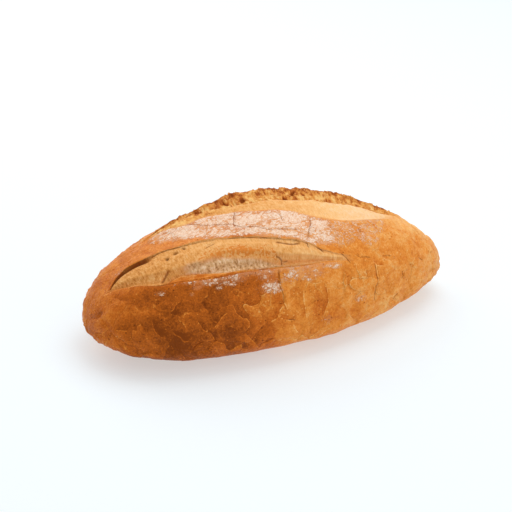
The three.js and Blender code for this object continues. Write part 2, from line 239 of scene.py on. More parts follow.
# Thinly or thickly floured spots: X, angle, half width along, half width across, how thick.
FLOURED = [
    (-97, 136, 3.4, 1.6, 0.36), (-78, 143, 2, 1.5, 0.4), (-73.5, 140, 4, 2, 0.42),
    (-68, 138.5, 3.5, 1.6, 0.5), (-60, 143.5, 2, 1.4, 0.5), (-50.5, 143, 2, 1.4, 0.55),
    (-24, 149, 7, 4, 0.7), (-44, 141, 9, 3, 0.36), (-26, 143, 7, 3.2, 0.4), (-3, 144.5, 10, 6, 0.42),
    (9, 146, 10, 6.5, 0.42), (43.5, 169, 6, 3.4, 0.3), (17, 177.5, 4, 4, 0.3), (-113, 88, 5, 4, 0.3),
    (-26, 99, 9, 9, 1.25), (7, 104, 9, 12, 1.2), (-10, 110, 9, 6, 1.05), (-45, 98, 9, 5, 0.95),
    (24, 119, 7, 6, 1), (62, 127, 7, 5, 0.75),
]

# How far the crust baked, along X, on top and on the front, with painted shade in the front's dark values on
# the left; then places that baked darker or paler: X, angle, half width along, half width across, by how
# much.
BAKE_TOP = [
    (-140, 0.5), (-112, 0.5), (-80, 0.42), (20, 0.42), (50, 0.34), (75, 0.22), (95, 0.1),
    (122, 0.01), (140, 0.02),
]
BAKE_AND_SHADE_FRONT = [
    (-140, 0.54), (-125, 0.66), (-110, 0.76), (-90, 0.79), (-60, 0.74), (-40, 0.69), (-24, 0.6),
    (-12, 0.38), (10, 0.34), (30, 0.34), (55, 0.28), (75, 0.26), (95, 0.28), (115, 0.25), (140, 0.22),
]
BAKE_CUT = [
    (-126, 0.54), (-95, 0.53), (-70, 0.44), (-45, 0.38), (-20, 0.4), (10, 0.37), (45, 0.36),
]
BAKE_SHEET = [
    (-75, 0.5), (-40, 0.46), (0, 0.38), (30, 0.28), (52, 0.14), (78, 0.1), (102, 0.24),
]
TONES = [
    (-50, 144, 22, 4, 0.1),
    (-112, 164, 20, 9, 0.18), (-84, 171, 14, 8, 0.12), (20, 176, 16, 7, 0.1), (-112, 146, 8, 6, -0.1),
    (-49.5, 168.5, 8, 9, 0.16), (11, 165, 7, 11, 0.2), (-92, 176, 22, 9, 0.06), (-108, 148, 5, 4, -0.14),
    (-100, 152, 12, 6, 0.08), (-28, 160, 9, 8, -0.06), (-14, 176, 10, 8, 0.06), (54, 147, 7, 6, 0.1),
    (75, 160, 12, 8, 0.05), (-62, 158, 12, 9, 0.05), (90, 150, 12, 10, 0.05),
]

# Fields kept on the crust's points for the finish.
FIELDS = ("bloom", "fibre", "torn", "toast", "high", "flour", "bake", "plates", "crack", "crack_off", "edge",
          "edge_off", "hollow", "lace")

STATIONS = 400

# Bands of rows round the section: name, the line or angle where each begins, and how many rows it has.
BANDS = [
    ("under", -90, 8), ("back", -35, 38), ("wall", CREST_LINE, 38), ("sheet", STEP_LINE, 14),
    ("band", RIM_LINE, 26), ("bloom", LIP_LINE, 26), ("fibre", RIDGE_LINE, 22), ("front", EAR_LINE, 66),
    ("under2", 215, 8),
]
CUT_BANDS = ("bloom", "fibre")
TOP_BANDS = ("band", "sheet")

# ------------------------------------------------------------------ finish, then stage in metres
HALF = (0.5, 0.5, 0.5)
FINE_PLATES = 0.42
LEAN_LIMIT = 0.8

# Loose pieces to a square metre where the mask is full.
FLOUR_GRAINS = 420000.0
WALL_CRUMBS = 160000.0

FLOOR_SIZE = 12.0
FLOOR_STEPS = 24
LIGHTS = {"key": ((0.3, 0.1, 1.05), 0.8), "back": ((-0.15, 1.0, 0.75), 1.1), "fill": ((0.5, -1.0, 0.7), 1.2)}
LIGHT_AIM = (0, 0, 0.03)
CAMERA_AIM = (0, 0, 0.040)
CAMERA_RIGHT = -0.008505
CAMERA_UP = 0.009062


# Below, x is a place along the loaf in millimetres, t the same place from -1 to 1, f runs from 0 to 1 over a
# band of rows, and s stands for the settings.

# ------------------------------------------------------------------ small numeric helpers
def ease(low, high, value):
    """Smooth step from 0 at low to 1 at high."""
    k = np.clip((value - low) / (high - low), 0.0, 1.0)
    return k * k * (3 - 2 * k)


def between(x, start, end, late=None):
    """1 between two soft ends, each given as where it begins and where it is done.

    The far end goes by late instead of x, where that is given.
    """
    return ease(*start, x) * (1 - ease(*end, x if late is None else late))


def fall(distance, reach, power):
    """1 at a line, falling away smoothly with the distance from it."""
    return np.exp(-(distance / reach) ** power)


def mix(a, b, share):
    """From a to b by a share."""
    return a + (b - a) * share


def curve(knots, x):
    """Smooth line through knots, the same one the solid uses."""
    kx, ky = np.array(knots, float).T
    order = np.arange(len(kx))
    before, after = np.maximum(order - 1, 0), np.minimum(order + 1, len(kx) - 1)
    slope = (ky[after] - ky[before]) / (kx[after] - kx[before])
    x = np.clip(np.asarray(x, float), kx[0], kx[-1])
    i = np.clip(np.searchsorted(kx, x, side="right") - 1, 0, len(kx) - 2)
    span = kx[i + 1] - kx[i]
    k = (x - kx[i]) / span
    k2, k3 = k * k, k * k * k
    return ((2 * k3 - 3 * k2 + 1) * ky[i] + (k3 - 2 * k2 + k) * slope[i] * span
            + (3 * k2 - 2 * k3) * ky[i + 1] + (k3 - k2) * slope[i + 1] * span)


def scatter(cell, seed):
    """Repeatable value between 0 and 1 for each lattice point."""
    full = np.uint64(0xFFFFFFFF)
    h = np.uint64(0)
    for value, factor in zip((*cell, seed), (0x9E3779B1, 0x85EBCA6B, 0xC2B2AE35, 0x27D4EB2F)):
        h = h + (np.asarray(value, np.int64) & 0xFFFFFFFF).astype(np.uint64) * np.uint64(factor)
    h = h & full
    for shift, factor in ((15, 0x2C1B3C6D), (12, 0x297A2D39)):
        h ^= h >> np.uint64(shift)
        h = (h * np.uint64(factor)) & full
    h ^= h >> np.uint64(15)
    return h.astype(float) / 2.0 ** 32


def swell(at, size, seed):
    """Smooth swelling between -1 and 1 over the whole space, at places given as x, y and z."""
    at = np.broadcast_arrays(*[np.asarray(v, float) / size for v in at])
    cell = [np.floor(v).astype(np.int64) for v in at]
    inside = [ease(0, 1, v - c) for v, c in zip(at, cell)]
    total = 0
    for corner in itertools.product((0, 1), repeat=3):
        wx, wy, wz = [k if far else 1 - k for far, k in zip(corner, inside)]
        total = total + wx * wy * wz * scatter([c + far for far, c in zip(corner, cell)], seed)
    return 2 * total - 1


def layers(at, size, seed, count=3, fade=0.5):
    """Several swells, each half the size of the one before."""
    total, weight, norm = 0, 1.0, 0.0
    for i in range(count):
        total = total + weight * swell(at, size / 2 ** i, seed + 17 * i)
        norm += weight
        weight *= fade
    return total / norm


# ------------------------------------------------------------------ plain loaf
def section(t, s):
    """Half width, top, waist, bottom and middle of the section; t runs from -1 to 1 along the loaf."""
    far = np.clip(np.abs(t), 0, 1)
    left = t < 0
    plan = np.sqrt(1 - far ** np.where(left, PLAN_ROUND[0], PLAN_ROUND[1])) * (1 + PLAN_TAPER * t)
    rise = np.sqrt(1 - far ** np.where(left, CROWN_ROUND[0], CROWN_ROUND[1]))
    keel = 1 - np.sqrt(1 - far ** KEEL_ROUND)
    half = np.maximum(s.width / MM / 2 * plan, 1e-6)
    top = TIP_HEIGHT + (s.crown / MM - TIP_HEIGHT) * rise * (1 + CROWN_TAPER * t)
    waist = TIP_HEIGHT + (WAIST - TIP_HEIGHT) * rise
    return half, top, waist, TIP_HEIGHT * keel, SIDE_BEND * (1 - t * t)


def plain(t, angle, s):
    """Points of the plain loaf, before it opens and cracks."""
    half, top, waist, bottom, centre = section(t, s)
    across, upward = np.cos(np.radians(angle)), np.sin(np.radians(angle))
    above = upward >= 0
    drop = np.maximum(np.where(above, top - waist, waist - bottom), 1e-6)
    power = np.where(above, UPPER_SQUARE, LOWER_SQUARE)
    reach = (np.abs(across / half) ** power + np.abs(upward / drop) ** power) ** (-1 / power)
    height = np.maximum(waist + reach * upward - SETTLE, 0)
    x = t * s.length / MM / 2 + 0 * reach
    return np.stack([x, centre + reach * across, height], -1)


def directions(t, angle, s):
    """Unit vectors round the section and out of the crust."""
    step, turn, tip = 0.004, 0.6, 0.9999
    before = plain(np.clip(t - step, -tip, tip), angle, s)
    after = plain(np.clip(t + step, -tip, tip), angle, s)
    along = plain(t, angle + turn, s) - plain(t, angle - turn, s)
    along /= np.linalg.norm(along, axis=-1, keepdims=True) + 1e-12
    out = np.cross(along, after - before)
    out /= np.linalg.norm(out, axis=-1, keepdims=True) + 1e-12
    return along, out


def stations(count, s):
    """Places along X at equal steps along the outline."""
    t = -np.cos(np.pi * np.arange(2001) / 2000)
    half, top, _, _, _ = section(t, s)
    line = np.stack([t * s.length / MM / 2, half, (top - TIP_HEIGHT) * 0.7], -1)
    run = np.concatenate([[0], np.cumsum(np.linalg.norm(np.diff(line, axis=0), axis=1))])
    return np.interp(run[-1] * np.arange(1, count) / count, run, line[:, 0])


def spread(t, low, high, count, s):
    """Angles from one line to the next, evenly spaced over the crust, for every station."""
    k = np.linspace(0, 1, 49)
    angles = low[:, None] + (high - low)[:, None] * k
    pts = plain(t[:, None] + 0 * angles, angles, s)
    steps = np.linalg.norm(np.diff(pts, axis=1), axis=2)
    run = np.concatenate([np.zeros((len(t), 1)), np.cumsum(steps, axis=1)], axis=1)
    want = np.arange(count) / count
    return np.stack([np.interp(want * run[i, -1], run[i], angles[i]) for i in range(len(t))])


# ------------------------------------------------------------------ cuts and crust relief
def cut_strength(x):
    return between(x, *CUT_RUN)


def ear_strength(x):
    return between(x, *EAR_RUN)


def tear_strength(x):
    return between(x, *TEAR_RUN)


def crest_height(x):
    """How far the torn crest stands above the plain loaf."""
    ragged = swell((x, 0, 0), 13, 31) + 0.6 * swell((x, 0, 0), 6, 32)
    return curve(CREST_RISE, x) * (1 + TEAR_RAGGED * ragged)


def fibres(x, f, size, seed):
    """Ridges that run across a cut, drawn out by the rise in the oven."""
    return layers((x + 1.5 * swell((x, f * 12, 3), 9, seed + 5), f * 5, 1.0), size, seed, 3, 0.6)


def profile(f, knots, heights):
    """Smooth profile over f, through heights that may change along x."""
    total = np.zeros(f.shape)
    for i in range(len(knots) - 1):
        a, b = (np.broadcast_to(h, f.shape) for h in heights[i:i + 2])
        inside = (f >= knots[i]) & ((f < knots[i + 1]) | (i == len(knots) - 2))
        total = np.where(inside, mix(a, b, ease(knots[i], knots[i + 1], f)), total)
    return total


def bloom_shape(x, f):
    """Rise and lean of the smooth dough that opened under the upper lip; its left end gapes."""
    left = between(x, (-125, -112), (-98, -86))
    tuck = CUT_TUCK - 2.8 * left
    heights = (CUT_LIP, tuck * 0.75, tuck, -0.1 - 0.3 * left, 0.9, CUT_RIDGE)
    base = profile(f, (0, 0.05, 0.12, 0.3, 0.6, 1.0), heights)
    wrinkle = 0.28 * fibres(x, f, 4.5, 61) * ease(0.16, 0.4, f)
    push = CUT_OVERHANG * (1 - ease(0, 0.1, f)) - 0.6 * (1 - ease(0.1, 0.3, f))
    return cut_strength(x) * (base + wrinkle), cut_strength(x) * push


def fibre_shape(x, f):
    """Rise and lean of the trough below it, up to the front ear."""
    trough = CUT_FLOOR * (0.45 + 0.55 * ear_strength(x))
    base = profile(f, (0, 0.28, 0.7, 0.86, 1.0), (CUT_RIDGE, trough * 0.45, trough, trough * 0.6, 0.0))
    streak = 0.55 * fibres(x, f, 2.8, 63) * ease(0, 0.15, f) * (1 - ease(0.8, 0.95, f))
    rise = CUT_EAR * ear_strength(x) * ease(0.72, 1, f)
    return cut_strength(x) * (base + streak) + rise, -CUT_EAR_LEAN * ease(0.86, 1, f) * ear_strength(x)


def wall_shape(x, f):
    """Rise and lean of the torn wall, from the crest down to the smooth sheet."""
    strength, crest, belly = tear_strength(x), crest_height(x), np.sin(np.pi * f)
    rough = 1.3 * swell((x, f * 24, 5), 9, 41) * belly
    shreds = 2.3 * layers((x, f * 20, 2.0), 6.5, 43, 3, 0.62) * ease(0, 0.1, f) * (1 - ease(0.9, 1, f))
    jag = 0.9 * layers((x, f * 6, 7.0), 3.2, 47, 2, 0.6) * (1 - ease(0.1, 0.5, f)) * ease(-0.6, 1.6, crest)
    drop = strength * TEAR_FOOT * ease(0.1, 0.86, f)
    lift = strength * (TEAR_SHEET - TEAR_FOOT) * ease(0.93, 1, f)
    rise = crest * (1 - ease(0, 0.75, f)) + drop + lift + strength * (rough + shreds + jag)
    return rise, strength * (TEAR_LEAN * (1 - ease(0, 0.3, f)) + 1.2 * swell((x, f * 9, 8), 4, 48) * belly)


def sheet_shape(x, f):
    """Rise of the smooth sheet below the torn wall, up to its rim, without a lean."""
    base = profile(f, (0, 0.12, 0.45, 0.85, 1.0), (TEAR_SHEET, 0.55, 0.35, -0.5, TEAR_RIM))
    knobs = 1.5 * layers((x, f * 12, 4.0), 5, 45, 3, 0.6) * (1 - ease(-44, -20, x)) * (1 - f)
    return tear_strength(x) * (base + 0.22 * fibres(x, f, 5, 66) + knobs), np.zeros(f.shape)


def clearing(strength, reached, most=1):
    """How much crackle is left beside a cut, as far as its edge has been left behind."""
    return 1 - strength * (1 - most * reached)


def crust_shape(band):
    """Rise and lean of the crust beside the cuts, and how strong its crackle is."""
    x = band.x
    cut, ear, tear = cut_strength(x), ear_strength(x), tear_strength(x)
    to_front, to_rim = np.maximum(band.past(EAR_LINE), 0), np.maximum(band.past(RIM_LINE), 0)
    to_lip, to_crest = np.maximum(-band.past(LIP_LINE), 0), np.maximum(-band.past(CREST_LINE), 0)
    front, back, top = to_front > 0, to_crest > 0, (to_rim > 0) & (to_lip > 0)
    ragged = 0.9 * layers((x, -to_crest * 0.6, 7.0), 3.2, 47, 2, 0.6) * ease(-0.6, 1.6, crest_height(x))
    crest = crest_height(x) * fall(to_crest, 9, 1.4) + tear * ragged * fall(to_crest, 3.5, 1.6)
    rise = np.where(front, CUT_EAR * ear * fall(to_front, 9, 1.5), 0)
    rise += np.where(top, CUT_LIP * cut * fall(to_lip, 6, 1.5), 0)
    rise += np.where(top, TEAR_RIM * tear * fall(to_rim, 5, 1.5), 0)
    rise += np.where(back, crest, 0)
    push = np.where(back, TEAR_LEAN * tear * fall(to_crest, 6, 1.4), 0)
    push += np.where(top, CUT_OVERHANG * cut * fall(to_lip, 5, 1.4), 0)
    push += np.where(front, -CUT_EAR_LEAN * ear * fall(to_front, 5, 1.4), 0)
    on_front = (0.6 + 0.4 * ease(0, 12, to_front)) * clearing(cut, ease(3, 18, to_front))
    on_back = (0.6 + 0.4 * ease(0, 12, to_crest)) * clearing(tear, ease(8, 22, to_crest))
    on_top = 0.6 * clearing(cut, ease(1, 6, to_lip), 0.75) * clearing(tear, ease(1, 6, to_rim), 0.75)
    return rise, push, np.where(front, on_front, np.where(back, on_back, on_top))


def lumps(x, at):
    """Soft lumps of the crust, stronger on the right."""
    right = ease(-20, 20, x)
    return (0.45 + 0.65 * right) * swell(at, 13, 3) + (0.1 + 0.45 * right) * swell(at, 7, 4)


def nearest(places, pts, out, s):
    """Which points lie near a line on the skin, how far off it, and how near its ends.

    The distance is above nothing to the right, going along the line.
    """
    t = np.array([p[0] for p in places], float) * 2 * MM / s.length
    line = plain(t, np.array([p[1] for p in places], float), s)
    steps = np.linalg.norm(np.diff(line, axis=0), axis=1)
    total = steps.sum()
    low, high = line.min(axis=0) - SEAM_BOX, line.max(axis=0) + SEAM_BOX
    use = np.all((pts > low) & (pts < high), axis=-1)
    p, n = pts[use], out[use]
    near, side, along = np.full(len(p), 1e9), np.ones(len(p)), np.zeros(len(p))
    run = 0.0
    for a, b, step in zip(line[:-1], line[1:], steps):
        ab = (b - a) / step
        k = np.clip((p - a) @ ab, 0, step)
        d = p - (a + k[:, None] * ab)
        far = np.linalg.norm(d, axis=1)
        hit = far < near
        near = np.where(hit, far, near)
        side = np.where(hit, np.sign(-np.sum(np.cross(n, ab) * d, axis=1)), side)
        along = np.where(hit, run + k, along)
        run += step
    fade = min(2.0, total * 0.3)
    ends = ease(0, fade, along) * ease(0, fade, total - along)
    return use, near * side, ends


def mark(fields, kind, use, off, show):
    """Keeps the nearest seam of its kind on each point: how far off it lies, and how strongly it shows."""
    old = fields[kind + "_off"][use]
    closer = np.abs(off) < np.abs(old)
    fields[kind][use] = np.where(closer & (np.abs(off) < SEAM_REACH), show, fields[kind][use])
    fields[kind + "_off"][use] = np.where(closer, np.clip(off, -SEAM_REACH, SEAM_REACH), old)


def seams(pts, out, s):
    """Cracks, plate edges and hollows: how far they move the skin, how calm it is there, and their fields."""
    at = tuple(np.moveaxis(pts, -1, 0))
    wander = np.stack([0.4 * swell(at, 4.5, 91 + i) + 0.2 * swell(at, 1.8, 96 + i) for i in range(3)], -1)
    place = pts + wander
    lift, calm = np.zeros(at[0].shape), np.ones(at[0].shape)
    fields = {k: np.zeros(at[0].shape) for k in ("crack", "edge", "hollow")}
    fields.update({k: np.full(at[0].shape, SEAM_REACH) for k in ("crack_off", "edge_off")})
    for half, deep, places in CRACKS:
        use, off, ends = nearest(places, place, out, s)
        lift[use] -= 0.5 * deep * np.maximum(ends, 0.2) * fall(off, max(half, 0.75), 2)
        mark(fields, "crack", use, off / half, ends * (1 - ease(3, SEAM_REACH, np.abs(off) / half)))
        calm[use] *= 1 - 0.4 * fall(off, 6, 2)
    for rise, slope, places in EDGES:
        use, off, ends = nearest(places, place, out, s)
        high, low = 0.4 * fall(off, slope, 2) * ease(-0.3, 0.9, off), -0.14 * fall(off / slope, 0.6, 2)
        lift[use] += ends * rise * np.where(off > 0, high, low)
        mark(fields, "edge", use, off, ends * (1 - ease(2.5, SEAM_REACH, np.abs(off))))
        calm[use] *= 1 - 0.55 * fall(off, 4.5, 2)
    for x, angle, half, deep in HOLLOWS:
        centre = plain(np.array([x * 2 * MM / s.length]), np.array([float(angle)]), s)[0]
        d = np.linalg.norm((pts + 3.4 * wander - centre) / half, axis=-1)
        lift -= deep * fall(d, 1, 2.4)
        # Painted shade: this field darkens the colour in the hollows.
        fields["hollow"] = np.maximum(fields["hollow"], fall(d, 0.95, 3))
    return lift, calm, fields


# ------------------------------------------------------------------ bands of rows
class Band:
    """One band of rows round the section: its shape, and the masks that its finish goes by."""

    def __init__(self, name, x, angle, f, pts):
        self.name, self.x, self.angle, self.f, self.pts = name, x, angle, f, pts
        self.at = tuple(np.moveaxis(pts, -1, 0))
        self.arc = np.radians(1) * np.hypot(self.at[1], self.at[2] - WAIST)
        self.wander = 2.2 * layers(self.at, 9, 101)
        near, far = x + self.wander, x + 2 * self.wander
        self.cut = between(near, (-126, -120), (30, 44), far)
        self.sheet = between(near, (-72, -60), (88, 102), far)
        self.torn = between(near, (-90, -72), (96, 110))
        roll_start = self.past(ROLL_LINE) + 0.3 * self.wander
        self.roll = between(x, (-96, -88), (-14, -6)) * ease(-0.6, 0.8, roll_start)

    def past(self, line):
        """How far each point lies to the front of a line over the loaf, in millimetres over the crust."""
        return (self.angle - curve(line, self.x)) * self.arc

    def shape(self):
        """Rise and lean off the plain loaf, and how strong the crackle is."""
        opened = {"wall": wall_shape, "sheet": sheet_shape, "bloom": bloom_shape, "fibre": fibre_shape}
        if self.name not in opened:
            return crust_shape(self)
        strength = cut_strength(self.x) if self.name in CUT_BANDS else tear_strength(self.x)
        return *opened[self.name](self.x, self.f), (1 - strength) * 0.6

    def spots(self, places):
        """How strong each soft spot of a list is at every point."""
        fray = 1 + 0.35 * layers(self.at, 5, 131, 2)
        for x, angle, along, across, amount in places:
            d = np.hypot((self.x - x) / along, (self.angle - angle) * self.arc / across) * fray
            yield amount * fall(d, 1, 2.2)

    def cut_masks(self):
        """Front cut: smooth dough, then strands below it, and a toasted ridge between."""
        x, wander = self.x, self.wander
        strands = ease(-2.2, 1.8, self.past(STRAND_LINE) + 0.9 * wander)
        strands = strands * ease(-84, -70, x + wander) * (1 - ease(-16, -4, x + 2 * wander)) * (1 - self.roll)
        ridge = fall(self.past(RIDGE_LINE) - 1 + wander, 4.2, 2)
        return {
            "bloom": self.cut * (1 - self.roll) * (1 - strands), "fibre": self.cut * strands,
            "toast": self.cut * (1 - self.roll) * ridge * ease(-84, -52, x) * (1 - ease(-24, -10, x)),
        }

    def tear_masks(self):
        """Top cut: rough and toasted near the crest, smooth on the sheet below."""
        x, f, wander, torn = self.x, self.f, self.wander, self.torn
        if self.name == "sheet":
            torn = torn * (1 - ease(-44, -22, x + 2 * wander)) * (1 - ease(0.5, 0.95, f + 0.06 * wander))
            return {"bloom": self.sheet, "torn": torn}
        if self.name == "wall":
            return {"bloom": self.sheet * ease(0.96, 1, f), "torn": torn * (1 - ease(0.96, 1, f)),
                    "high": torn * (1 - ease(0, 0.42, f + 0.05 * wander))}
        edge = torn * (1 - ease(1.5, 5, wander - self.past(CREST_LINE))) * ease(0.3, 2, crest_height(x))
        return {"torn": edge, "high": edge}

    def flour(self):
        """How much flour was dusted on: over the top, in a line by the front ear, in spots and underneath."""
        x, wander = self.x, self.wander
        flour, off_rim = np.zeros(x.shape), 1
        if self.name in TOP_BANDS:
            off_rim = ease(-2.5, 2.5, self.past(RIM_LINE) + wander)
            dense = ease(-90, -74, x + wander) * (1 - 0.64 * ease(26, 44, x))
            dense = dense * (1 - ease(70, 90, x + 2 * wander))
            flour = ease(-3, 5, 1.6 * wander - self.past(FLOUR_EDGE)) * off_rim * dense * 0.92
        if self.name == "front":
            near = between(self.past(EAR_LINE), (0.2, 1.2), (2, 6), self.past(EAR_LINE) + wander)
            flour = 0.46 * near * ease(-100, -62, x) * (1 - ease(22, 44, x))
        if self.name in ("under", "under2"):
            flour = 0.4 * (1 - ease(1, 10, self.at[2]))
        if self.name in CUT_BANDS + ("wall",):
            return flour
        return np.maximum(flour, np.max(list(self.spots(FLOURED)), axis=0) * off_rim)

    def bake(self, plates):
        """How far the crust baked, from 0 for pale to 1 for dark, with painted shade low on the left front
        and on the lumps.
        """
        x, wander, front = self.x, self.wander, ease(92, 138, self.angle)
        bake = mix(curve(BAKE_TOP, x), curve(BAKE_AND_SHADE_FRONT, x + 0.6 * wander), front)
        # Painted shade: the front darkens towards the bottom on its left.
        bake += 0.06 * front * (1 - ease(-60, 10, x)) * (1 - ease(8, 40, self.at[2]))
        bake += sum(self.spots(TONES))
        # Painted light and shade: paler on the tops of the lumps, darker between them.
        bake -= 0.07 * plates * lumps(x, self.at)
        if self.name == "back":
            behind = 0.5 + 0.08 * swell(self.at, 60, 111)
            bake = mix(bake, behind, ease(2, 30, wander - self.past(CREST_LINE)))
        if self.name in CUT_BANDS:
            bake = mix(bake, curve(BAKE_CUT, x), self.cut)
            bake = mix(bake, 0.44 + 0.3 * layers(self.at, 5, 121, 2), self.roll)
        if self.name == "sheet":
            bake = mix(bake, curve(BAKE_SHEET, x), self.sheet)
        return np.clip(bake, -0.2, 1)

    def masks(self, plates, fields):
        """Every field of the finish on the band's points, with their resting place and place on the skin."""
        x = self.x
        masks = {k: np.zeros(x.shape) for k in FIELDS}
        masks.update(fields)
        if self.name in CUT_BANDS:
            masks.update(self.cut_masks())
        if self.name in ("sheet", "wall", "back"):
            masks.update(self.tear_masks())
        if self.name in TOP_BANDS:
            masks["lace"] = ease(26, 42, x + self.wander) * (1 - ease(84, 98, x))
        if self.name == "bloom":
            # Painted shade in the tuck under the lip of the front cut, deepest where its left end gapes.
            gape_shade = 0.2 + 0.55 * (1 - ease(-98, -86, x))
            masks["hollow"] = np.maximum(masks["hollow"], self.cut * gape_shade * (1 - ease(0.02, 0.12, self.f)))
        if self.name == "sheet":
            masks["hollow"] = np.zeros(x.shape)
        masks.update(flour=self.flour(), bake=self.bake(plates), plates=plates)
        masks["rest"] = self.pts
        masks["skin"] = np.stack([x, np.radians(self.angle) * 60, np.zeros(x.shape)], -1)
        return masks


def band_starts(xs):
    """The angle at which each band begins, at every station; the torn and cut lines are a little uneven."""
    starts = {name: curve(line, xs) if isinstance(line, list) else np.full(len(xs), float(line))
              for name, line, _ in BANDS}
    along = (xs, 0, 0)
    starts["sheet"] += tear_strength(xs) * (swell(along, 4.6, 71) + 0.4 * swell(along, 2.2, 72))
    starts["wall"] += tear_strength(xs) * 0.9 * swell(along, 4.5, 73)
    starts["bloom"] += cut_strength(xs) * 0.4 * swell(along, 6, 74)
    return list(starts.values())


def band_rows(name, t, low, high, count, s):
    """Angles of a band's rows at every station, and how far over the band each row lies."""
    f = np.arange(count) / count
    if name in CUT_BANDS + ("wall", "sheet", "band"):
        f = f ** BLOOM_CROWDING if name == "bloom" else f
        angle = low[:, None] + (high - low)[:, None] * f
    else:
        angle = spread(t, low, high, count, s)
    return angle, np.broadcast_to(f, angle.shape)


def loaf_grid(s):
    """Points of the whole crust in millimetres, ring by ring, and the fields on them."""
    xs = stations(STATIONS, s)
    t = xs * 2 * MM / s.length
    starts = band_starts(xs)
    blocks, masks = [], []
    for (name, _, count), low, high in zip(BANDS, starts, starts[1:] + [starts[0] + 360]):
        angle, f = band_rows(name, t, low, high, count, s)
        tt = np.broadcast_to(t[:, None], angle.shape)
        pts = plain(tt, angle, s)
        along, out = directions(tt, angle, s)
        band = Band(name, np.broadcast_to(xs[:, None], angle.shape), angle, f, pts)
        rise, push, plates = band.shape()
        rise = rise + swell(band.at, 46, 1) + 0.6 * swell(band.at, 21, 2)
        rise = rise + plates * lumps(band.x, band.at)
        shift, calm, fields = seams(pts, out, s)
        free = ease(0.5, 9, band.at[2])
        place = pts + out * ((rise + shift) * free)[..., None] + along * (push * free)[..., None]
        place[..., 2] = np.maximum(place[..., 2], 0)
        blocks.append(place)
        masks.append(band.masks(plates * ease(4, 20, band.at[2]) * calm, fields))
    fields = {k: np.concatenate([m[k] for m in masks], axis=1) for k in masks[0]}
    return np.concatenate(blocks, axis=1), fields


# ------------------------------------------------------------------ node helpers
class Net:
    """Adds nodes to a tree, with their inputs given as values or as other nodes' outputs."""

    def __init__(self, tree):
        self.tree = tree

    def feed(self, node, inputs):
        """Sets or links inputs of a node, by number or by name."""
        for key, value in inputs.items():
            if isinstance(value, bpy.types.NodeSocket):
                self.tree.links.new(value, node.inputs[key])
            else:
                node.inputs[key].default_value = value

    def add(self, kind, *values, out=0, inputs=None, **props):
        """A new node's output, or the node itself where out is None."""
        node = self.tree.nodes.new(kind)
        for key, value in props.items():
            setattr(node, key, value)
        self.feed(node, {**dict(enumerate(values)), **(inputs or {})})
        return node if out is None else node.outputs[out]

    def math(self, operation, *values):
        return self.add("ShaderNodeMath", *values, operation=operation)

    def vector(self, operation, *values, out=0):
        return self.add("ShaderNodeVectorMath", *values, operation=operation, out=out)

    def scale(self, vector, factor):
        return self.add("ShaderNodeVectorMath", inputs={0: vector, 3: factor}, operation="SCALE")

    def shrink(self, vector, size):
        """Vector counted in steps of a size."""
        return self.scale(vector, self.math("DIVIDE", 1.0, size))

    def line(self, value, factor, start):
        """Start plus value times factor."""
        return self.math("MULTIPLY_ADD", value, factor, start)

    def most(self, a, b):
        return self.math("MAXIMUM", a, b)

    def limit(self, value, bound):
        """Value kept between -bound and bound."""
        return self.most(self.math("MINIMUM", value, bound), -bound)

    def inverse(self, value):
        """One less a value."""
        return self.math("SUBTRACT", 1.0, value)

    def centred(self, value):
        """Value from 0 to 1 moved to lie round zero."""
        return self.math("SUBTRACT", value, 0.5)

    def times(self, first, *rest):
        """Product of all the values."""
        for value in rest:
            first = self.math("MULTIPLY", first, value)
        return first

    def weigh(self, total, *parts):
        """Total plus every part times its weight."""
        for value, weight in parts:
            total = self.line(value, weight, total)
        return total

    def ramp(self, value, low, high, start=0.0, end=1.0):
        """Value eased from low..high to start..end."""
        return self.add("ShaderNodeMapRange", value, low, high, start, end, interpolation_type="SMOOTHSTEP")

    def noise(self, vector, scale, detail=2.0, roughness=0.5, out=0):
        return self.add("ShaderNodeTexNoise", out=out,
                        inputs={"Vector": vector, "Scale": scale, "Detail": detail, "Roughness": roughness})

    def cells(self, vector, feature, randomness, out=None):
        return self.add("ShaderNodeTexVoronoi", out=out, feature=feature,
                        inputs={"Vector": vector, "Scale": 1.0, "Randomness": randomness})

    def mix(self, factor, a, b):
        return self.add("ShaderNodeMix", data_type="RGBA", inputs={0: factor, 6: a, 7: b}, out=2)

    def colour_ramp(self, value, *stops):
        """Colour by a value, through stops given as place and colour."""
        node = self.add("ShaderNodeValToRGB", value, out=None)
        elements = node.color_ramp.elements
        while len(elements) < len(stops):
            elements.new(0.5)
        for element, (place, colour) in zip(elements, stops):
            element.position = place
            element.color = colour
        return node.outputs[0]

    def bump(self, strength, distance, height):
        return self.add("ShaderNodeBump",
                        inputs={"Strength": strength, "Distance": distance, "Height": height})

    def attribute(self, name, out=2):
        return self.add("ShaderNodeAttribute", attribute_name=name, out=out)


def new_socket(tree, label, way, given):
    """Named socket of a tree, given as its default value or as its kind."""
    kind = {float: "Float", int: "Int"}.get(type(given), given)
    socket = tree.interface.new_socket(name=label, in_out=way, socket_type="NodeSocket" + kind)
    if kind != given:
        socket.default_value = given


def node_tree(kind, name, inputs, build):
    """Shared tree with named inputs; build gives its outputs by name."""
    tree = bpy.data.node_groups.get(name)
    if tree is None:
        tree = bpy.data.node_groups.new(name, kind + "NodeTree")
        for label, given in inputs.items():
            new_socket(tree, label, "INPUT", given)
        net = Net(tree)
        made = build(net, tree.nodes.new("NodeGroupInput").outputs)
        for label in made:
            new_socket(tree, label, "OUTPUT", "Geometry" if kind == "Geometry" else "Float")
        net.feed(tree.nodes.new("NodeGroupOutput"), made)
    return tree


